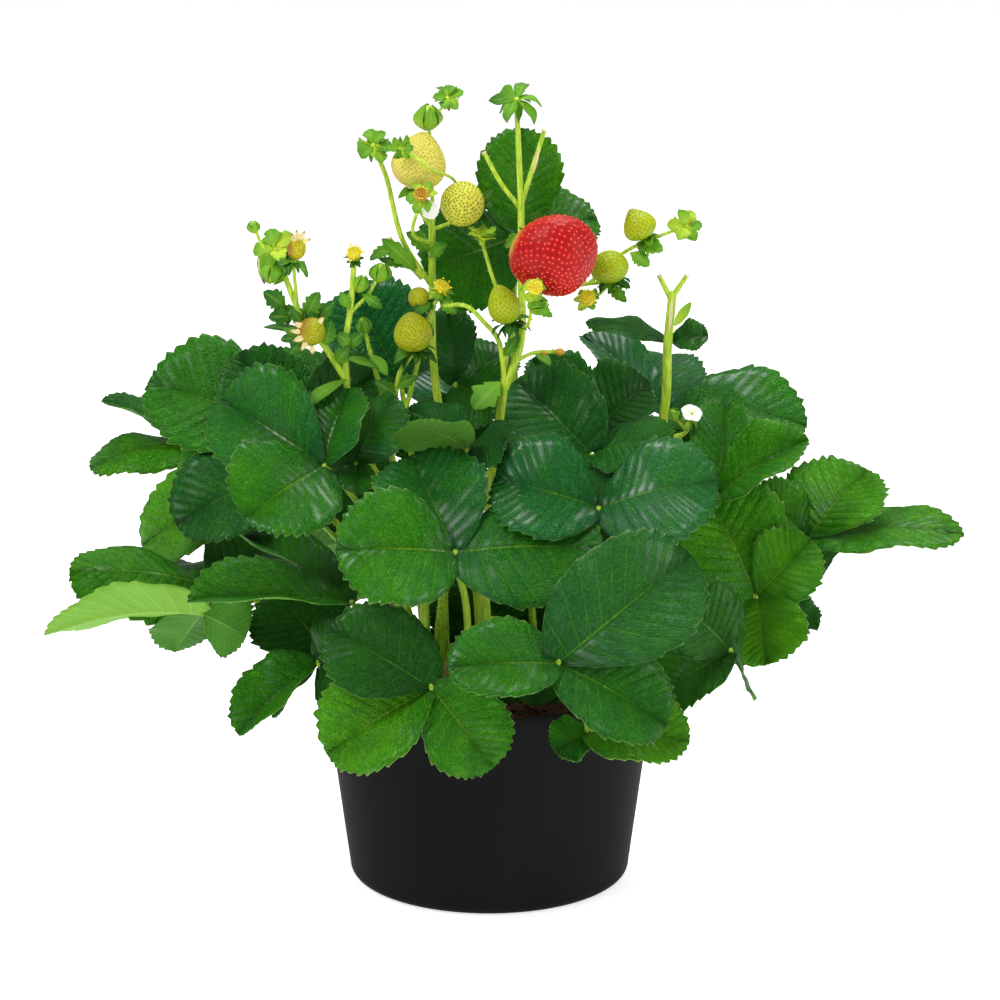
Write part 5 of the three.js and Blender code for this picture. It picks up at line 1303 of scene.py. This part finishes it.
def star(bm, centre, axis, radius, droop, fresh, leafiness, material=0, lobes=SEPALS):
    """The sepals round the end of a stalk: broad ones with narrow ones between."""
    centre, out = Vector(centre), Vector(axis).normalized()
    side, other = across_axes(out)
    for i in range(2 * lobes):
        angle = math.pi * i / lobes + chance.uniform(-0.2, 0.2)
        broad = i % 2 == 0
        away = side * math.cos(angle) + other * math.sin(angle)
        reach = radius * (chance.uniform(0.84, 1.04) if broad else chance.uniform(0.6, 0.85))
        drop = droop + (0 if broad else -0.2) + chance.uniform(-0.3, 0.25)
        tip = centre + away * reach + out * (drop * radius)
        width = radius * ((0.4 + 0.34 * leafiness) * chance.uniform(0.8, 1.1) if broad else 0.28)
        teeth = 3 if broad and leafiness > 0.5 else 0
        fullness = 0.42 + 0.16 * leafiness if broad else 0.4
        shade = min(1, max(0, fresh + chance.uniform(-0.25, 0.2)))
        facing = out + away.cross(out) * chance.uniform(-0.6, 0.6) - away * chance.uniform(0, 0.4)
        blade(
            bm, centre + away * 0.6, tip, facing, width, material, arch=chance.uniform(0.04, 0.2),
            cup=chance.uniform(0.1, 0.7), fullness=fullness, steps=(12, 4), fresh=shade, teeth=teeth,
            ragged=0.1,
        )


def cut_end(bm, path, width, material):
    """The pale face where a stalk was cut."""
    part = bmesh.new()
    bmesh.ops.create_cone(
        part, segments=12, radius1=width / 2 + 0.12, radius2=width / 2 + 0.25, depth=0.9, cap_ends=True,
        matrix=standing(path[-1], (path[-1] - path[-2]).normalized()),
    )
    added(bm, part, material)


def truss(name):
    """The flower stalks of a truss, with sepals, bracts, buds and hairs."""
    spec = TRUSSES[name]
    bm = bmesh.new()
    for order, (diameter, points) in enumerate(spec["stalks"]):
        path = smooth_path(points, TRUSS_STEPS)
        widths = tapering(len(path), diameter, diameter * (BRANCH_TAPER if order else TRUSS_TAPER))
        rod(bm, path, widths, 0)
        hairs(bm, path, widths, 2, TRUSS_HAIRS_PER_MM)
        if order in spec.get("cut", ()):
            cut_end(bm, path, widths[-1], 1)
    for base, tip, width in spec.get("splits", ()):
        blade(bm, base, tip, (0, -1, 0), width, 1, arch=0.02, cup=-0.1, fullness=0.5)
    leafy = bmesh.new()
    stars = list(spec["stars"])
    for on, centre, tip, _, _, *form in FRUITS.values():
        if on == name:
            stars.append((centre, Vector(tip) - Vector(centre), *form))
    for centre, axis, *form in stars:
        star(leafy, centre, axis, *form)
        knob(bm, Vector(centre) - Vector(axis).normalized() * STAR_SINK, STAR_KNOB, 0)
    for flower_name, (reach, lobes) in RAYS.items():
        on, centre, tip = FRUITS[flower_name][:3]
        if on == name:
            axis = (Vector(tip) - Vector(centre)).normalized()
            star(leafy, Vector(centre) + axis * RAY_LIFT, axis, reach, *RAY_FORM, 2, lobes)
    for centre, radius in spec.get("dry_knobs", ()):
        knob(bm, Vector(centre), radius, 3, (1.1, 0.8, 0.8))
    for base, tip, facing, width, fresh in spec["bracts"]:
        blade(
            leafy, base, tip, facing, width, arch=0.06, fullness=0.5, steps=(12, 6), fresh=fresh,
            teeth=3 if width > 8 else 0,
        )
    for near, far, width in spec["buds"]:
        bud(bm, leafy, Vector(near), Vector(far), width)
    looks = [SEPAL, SEPAL, YELLOW_RAY, YELLOW_RAY]
    finished(leafy, f"{name}_sepals", "truss_stalk", [], looks, SEPAL_THICKNESS)
    return finished(bm, name, "truss_stalk", [name], [TRUSS, CUT_END, HAIR, AMBER])


def bud(bm, leafy, near, far, width):
    """A round green bud, wrapped in its sepals."""
    length, out = (far - near).length, (far - near).normalized()
    knob(bm, (near + far) / 2, width / 2 * 0.98, 0, (1, 1, length / width), frame_along(out))
    for i in range(SEPALS):
        away = out.orthogonal().normalized()
        away.rotate(Matrix.Rotation(2 * math.pi * i / SEPALS, 3, out))
        foot = near + away * width * 0.12
        tip = far + away * width * 0.2 + out * chance.uniform(-0.6, 0.5)
        fresh = chance.uniform(0.5, 0.75)
        arch = 0.45 * width / length
        blade(leafy, foot, tip, away, width * 0.66, arch=arch, cup=0.1, steps=(8, 4), fresh=fresh)


def on_its_star(name):
    """A fruit's or flower's star, top and tip, the way that it grows, its width and its taper."""
    _, centre, tip, width, taper, *_ = FRUITS[name]
    centre, tip = Vector(centre), Vector(tip)
    out = (tip - centre).normalized()
    return centre, centre + out * (SEPAL_RISE + FIT_GAP), tip, out, width, taper


def seeded(name, skin, seed, slot_name, count, seed_size, dimple, fineness):
    """A fruit with seeds set in spirals in shallow dimples."""
    centre, top, tip, out, width, taper = on_its_star(name)
    length = (tip - top).length
    spacing = math.sqrt(4 * math.pi / count)

    def shaped(point):
        shoulder = 1 + taper * point.z - FRUIT_FULLNESS * point.z * point.z
        girth = width / 2 * shoulder
        return Vector((point.x * girth, point.y * girth, point.z * length / 2))

    seeds = []
    for i in range(count):
        even = on_spiral(i, 1 - 2 * (i + 0.5) / count)
        stray = Vector((noise(even * 9), noise(even.yzx * 9), noise(even.zxy * 9)))
        seeds.append(shaped((even + stray * spacing * SEED_STRAY).normalized()))
    near = KDTree(count)
    for i, spot in enumerate(seeds):
        near.insert(spot, i)
    near.balance()
    bm = bmesh.new()
    blade_map = bm.loops.layers.uv.new("blade")
    bmesh.ops.create_uvsphere(bm, u_segments=fineness * 3 // 2, v_segments=fineness, radius=1)
    shares = {}
    for vert in bm.verts:
        body = shaped(vert.co)
        nearness = math.exp(-((near.find(body)[2] / (seed_size * 0.8)) ** 2))
        shares[vert] = ((vert.co.z + 1) / 2, nearness)
        lump = FRUIT_LUMP * width * noise(body * (LUMPS_ACROSS / width) + centre)
        vert.co = body + body.normalized() * (lump - dimple * nearness)
    for face in bm.faces:
        for loop in face.loops:
            loop[blade_map].uv = shares[loop.vert]
    part = bmesh.new()
    for spot in seeds:
        if spot.z > length * SEEDED_SHARE:
            continue
        outward = Vector((spot.x, spot.y, spot.z * (width / length) ** 2 * 0.9)).normalized()
        place = standing(spot - outward * (dimple * 0.8 + 0.02), outward) @ Matrix.Diagonal(SEED_SHAPE)
        bmesh.ops.create_icosphere(part, subdivisions=1, radius=seed_size / 2, matrix=place)
    added(bm, part, 1)
    bmesh.ops.transform(bm, matrix=standing((top + tip) / 2, -out), verts=bm.verts)
    return finished(bm, name, slot_name, [name], [skin, seed])


def flower(name, stamens, reach_out, look):
    """A flower's centre: a dome of tiny styles with a ring of stamens."""
    _, top, tip, out, width, _ = on_its_star(name)
    length = (tip - top).length
    bm = bmesh.new()
    dome = bmesh.new()
    middle_height = length * 0.45
    squat = Matrix.Translation((0, 0, middle_height)) @ Matrix.Diagonal((1, 1, length * 0.9 / width, 1))
    bmesh.ops.create_uvsphere(dome, u_segments=20, v_segments=14, radius=width * 0.36, matrix=squat)
    added(bm, dome, 0)
    tufts = bmesh.new()
    for i in range(FLOWER_TUFTS):
        foot = on_spiral(i, 1 - 1.1 * (i + 0.5) / FLOWER_TUFTS)
        point = Vector((foot.x * width * 0.37, foot.y * width * 0.37, middle_height + foot.z * length * 0.42))
        bmesh.ops.create_cone(
            tufts, segments=5, radius1=0.34, radius2=0.12, depth=0.9, cap_ends=True,
            matrix=standing(point, foot),
        )
    added(bm, tufts, 0)
    rods = bmesh.new()
    for i in range(stamens):
        angle = 2 * math.pi * (i + chance.uniform(-0.3, 0.3)) / stamens
        away = round_axis(1, angle)
        reach = width * 0.5 * chance.uniform(0.85, 1.0) * reach_out
        head = away * reach + Vector((0, 0, length * chance.uniform(0.35, 0.95)))
        foot = away * width * 0.3
        run = head - foot
        bmesh.ops.create_cone(
            rods, segments=4, radius1=0.14, radius2=0.1, depth=run.length, cap_ends=False,
            matrix=standing((head + foot) / 2, run.normalized()),
        )
        anther = standing(head, away) @ Matrix.Diagonal((1, 0.7, 0.5, 1))
        bmesh.ops.create_icosphere(rods, subdivisions=1, radius=0.62, matrix=anther)
    added(bm, rods, 1)
    bmesh.ops.transform(bm, matrix=standing(top, out), verts=bm.verts)
    return finished(bm, name, "flower_centre", [name], [look, ANTHER])


def petals():
    """The small open flower beside the cut stalk: broad white petals."""
    bm = bmesh.new()
    centre, out = Vector(OPEN_FLOWER), Vector(OPEN_FLOWER_AXIS).normalized()
    side, other = across_axes(out)
    for i in range(PETALS):
        angle = 2 * math.pi * i / PETALS
        away = side * math.cos(angle) + other * math.sin(angle)
        foot, tip = centre + away * 0.4, centre + away * PETAL_REACH + out * PETAL_LIFT
        blade(bm, foot, tip, out, PETAL_WIDTH, arch=0.05, cup=0.25, fullness=0.6, steps=(8, 6))
    looks = [WHITE_PETAL, WHITE_PETAL]
    return finished(bm, "flower_petals", "petal", ["flower_petals"], looks, PETAL_THICKNESS)


def loose_petals():
    """Withered petals that still hang on the young fruit, and one white one."""
    bm = bmesh.new()
    for foot, tip, width in DRIED_PETALS:
        blade(
            bm, foot, tip, LOOSE_PETAL_FACING, width, arch=0.15, cup=0.4, fullness=0.5, steps=(10, 6),
            fresh=0, ragged=0.16,
        )
    foot, tip, width = FRESH_PETAL
    blade(
        bm, foot, tip, LOOSE_PETAL_FACING, width, 2, arch=0.05, cup=0.25, fullness=0.6, steps=(10, 8),
        fresh=0,
    )
    looks = [DRIED_PETAL, DRIED_PETAL, WHITE_PETAL, WHITE_PETAL]
    return finished(bm, "loose_petals", "petal", [], looks, PETAL_THICKNESS)


def small_leaves():
    """The little toothed leaves along the trusses."""
    bm = bmesh.new()
    for foot, tip, facing, width, fresh in SMALL_LEAVES:
        blade(
            bm, foot, tip, facing, width, arch=0.12, cup=0.3, fullness=0.55, steps=(15, 6), fresh=fresh,
            teeth=5, ragged=0.08,
        )
    return finished(bm, "truss_small_leaves", "truss_stalk", [], [SEPAL, SEPAL], SEPAL_THICKNESS)


def wall(z):
    """The pot's outer radius at a height."""
    return POT_BASE_DIAMETER / 2 + (POT_TOP_DIAMETER - POT_BASE_DIAMETER) / 2 / POT_HEIGHT * z


def pot():
    """A thin black pot with soft edges and drain holes."""
    middle = wall(POT_FOOT_ROUND) - POT_FOOT_ROUND

    def foot(bend):
        return middle + POT_FOOT_ROUND * math.sin(bend), POT_FOOT_ROUND - POT_FOOT_ROUND * math.cos(bend)

    profile = [
        (0, 0), (30, 0), *(foot(math.pi / 2 * i / FOOT_STEPS) for i in range(FOOT_STEPS + 1)),
        *((wall(z), z) for z in POT_SIDE_HEIGHTS),
        *((POT_TOP_DIAMETER / 2 - inset, POT_HEIGHT - drop) for inset, drop in POT_RIM_ROUND),
        (wall(60) - POT_WALL, 60), (wall(POT_FOOT_ROUND) - POT_WALL, POT_FOOT_ROUND),
        (POT_BASE_DIAMETER / 2 - POT_FOOT_ROUND, POT_FLOOR), (0, POT_FLOOR),
    ]
    bm = bmesh.new()
    turned(bm, profile, POT_TURNS, 0)
    piece = finished(bm, "pot", "pot_plastic", ["pot"], [POT])
    drill = bmesh.new()
    for i in range(DRAIN_HOLE_COUNT):
        spot = round_axis(DRAIN_HOLE_CIRCLE / 2, 2 * math.pi * i / DRAIN_HOLE_COUNT, 1)
        bmesh.ops.create_cone(
            drill, segments=32, radius1=DRAIN_HOLE_DIAMETER / 2, radius2=DRAIN_HOLE_DIAMETER / 2,
            depth=12, cap_ends=True, matrix=Matrix.Translation(spot),
        )
    bmesh.ops.transform(drill, matrix=Matrix.Scale(MM, 4), verts=drill.verts)
    tool = placed(drill, "drill")
    cut = piece.modifiers.new("drain_holes", "BOOLEAN")
    cut.operation = "DIFFERENCE"
    cut.object = tool
    bpy.context.view_layer.update()
    done = bpy.data.meshes.new_from_object(piece.evaluated_get(bpy.context.evaluated_depsgraph_get()))
    piece.modifiers.clear()
    piece.data = done
    bpy.data.objects.remove(tool)
    return piece


def soil():
    """A heap of peat with clods, crumbs and bits of fibre."""
    inset = POT_WALL + FIT_GAP + SOIL_INSET
    edge = wall(SOIL_TOP) - inset

    def mound(share):
        return SOIL_TOP + SOIL_MOUND * (1 - share * share)

    shares = [1 - i / SOIL_RINGS for i in range(SOIL_RINGS)]
    profile = [
        (0, POT_FLOOR + FIT_GAP), (POT_BASE_DIAMETER / 2 - POT_FOOT_ROUND - 0.4, POT_FLOOR + FIT_GAP),
        (wall(POT_FOOT_ROUND) - inset, POT_FOOT_ROUND), (edge, SOIL_TOP - 1),
        *((edge * share, mound(share)) for share in shares), (0, mound(0)),
    ]
    bm = bmesh.new()
    turned(bm, profile, SOIL_TURNS, 0)
    for vert in bm.verts:
        x, y, z = vert.co
        if z > SOIL_TOP - 0.5:
            vert.co.z += sum(high * noise(Vector((x * fine, y * fine, layer))) for high, fine, layer in CLODS)
    crumbs = bmesh.new()
    for _ in range(CRUMB_COUNT):
        away = math.sqrt(chance.random()) * 0.97
        angle = chance.uniform(0, 2 * math.pi)
        radius = chance.uniform(*CRUMB_RADIUS)
        spot = round_axis(edge * away, angle, mound(away) + chance.uniform(*CRUMB_RISE))
        shape = Matrix.Rotation(chance.uniform(0, 3), 4, "Z")
        shape @= Matrix.Diagonal((1, chance.uniform(0.5, 1), 0.7, 1))
        shape = Matrix.Translation(spot) @ shape
        bmesh.ops.create_icosphere(crumbs, subdivisions=1, radius=radius, matrix=shape)
    added(bm, crumbs, 0)
    return finished(bm, "soil", "potting_soil", ["soil"], [SOIL])


# The plant

pot()
soil()
for order, leaf_name in enumerate(LEAVES):
    leaf(leaf_name, order)
cut_stalk_leaf()
for crown_side in CROWNS:
    crown(crown_side)
for truss_name in TRUSSES:
    truss(truss_name)
for fruit_name, form in FRUIT_FORMS.items():
    seeded(fruit_name, *form)
for flower_name, form in FLOWER_FORMS.items():
    flower(flower_name, *form)
petals()
loose_petals()
small_leaves()

# The studio, in metres

FLOOR_REACH = 14
LAMP_AIM = (0, 0, 0.2)
LAMPS = {
    "key_light": ((-0.9, -0.9, 1.7), 0.9, 24),
    "top_light": ((0.3, 0.5, 1.8), 1.0, 22),
    "right_light": ((1.5, -0.6, 0.7), 0.9, 8),
}
WORLD_LIGHT = 0.34
LENS = 120
SENSOR_WIDTH = 36
CAMERA_PLACE = (0.0048, -1.438, 0.5203)
CAMERA_TILT = 76.4

scene = bpy.context.scene
ground = bmesh.new()
bmesh.ops.create_grid(ground, x_segments=1, y_segments=1, size=FLOOR_REACH)
floor = placed(ground, "studio_floor")
floor.data.materials.append(FLOOR)


def stood(name, data, place, turn):
    """Puts a lamp or a camera in the studio."""
    item = bpy.data.objects.new(name, data)
    item.location = place
    item.rotation_euler = turn
    scene.collection.objects.link(item)
    return item


for lamp_name, (place, size, power) in LAMPS.items():
    lamp = bpy.data.lights.new(lamp_name, "AREA")
    lamp.size = size
    lamp.energy = power
    aim = Vector(LAMP_AIM) - Vector(place)
    stood(lamp_name, lamp, place, aim.to_track_quat("-Z", "Y").to_euler())
world = bpy.data.worlds.new("studio")
world.use_nodes = True
background = world.node_tree.nodes["Background"]
background.inputs["Color"].default_value = (1, 1, 1, 1)
background.inputs["Strength"].default_value = WORLD_LIGHT
scene.world = world
scene.view_settings.view_transform = "Standard"
lens = bpy.data.cameras.new("camera")
lens.lens = LENS
lens.sensor_width = SENSOR_WIDTH
scene.camera = stood("camera", lens, CAMERA_PLACE, (math.radians(CAMERA_TILT), 0, 0))
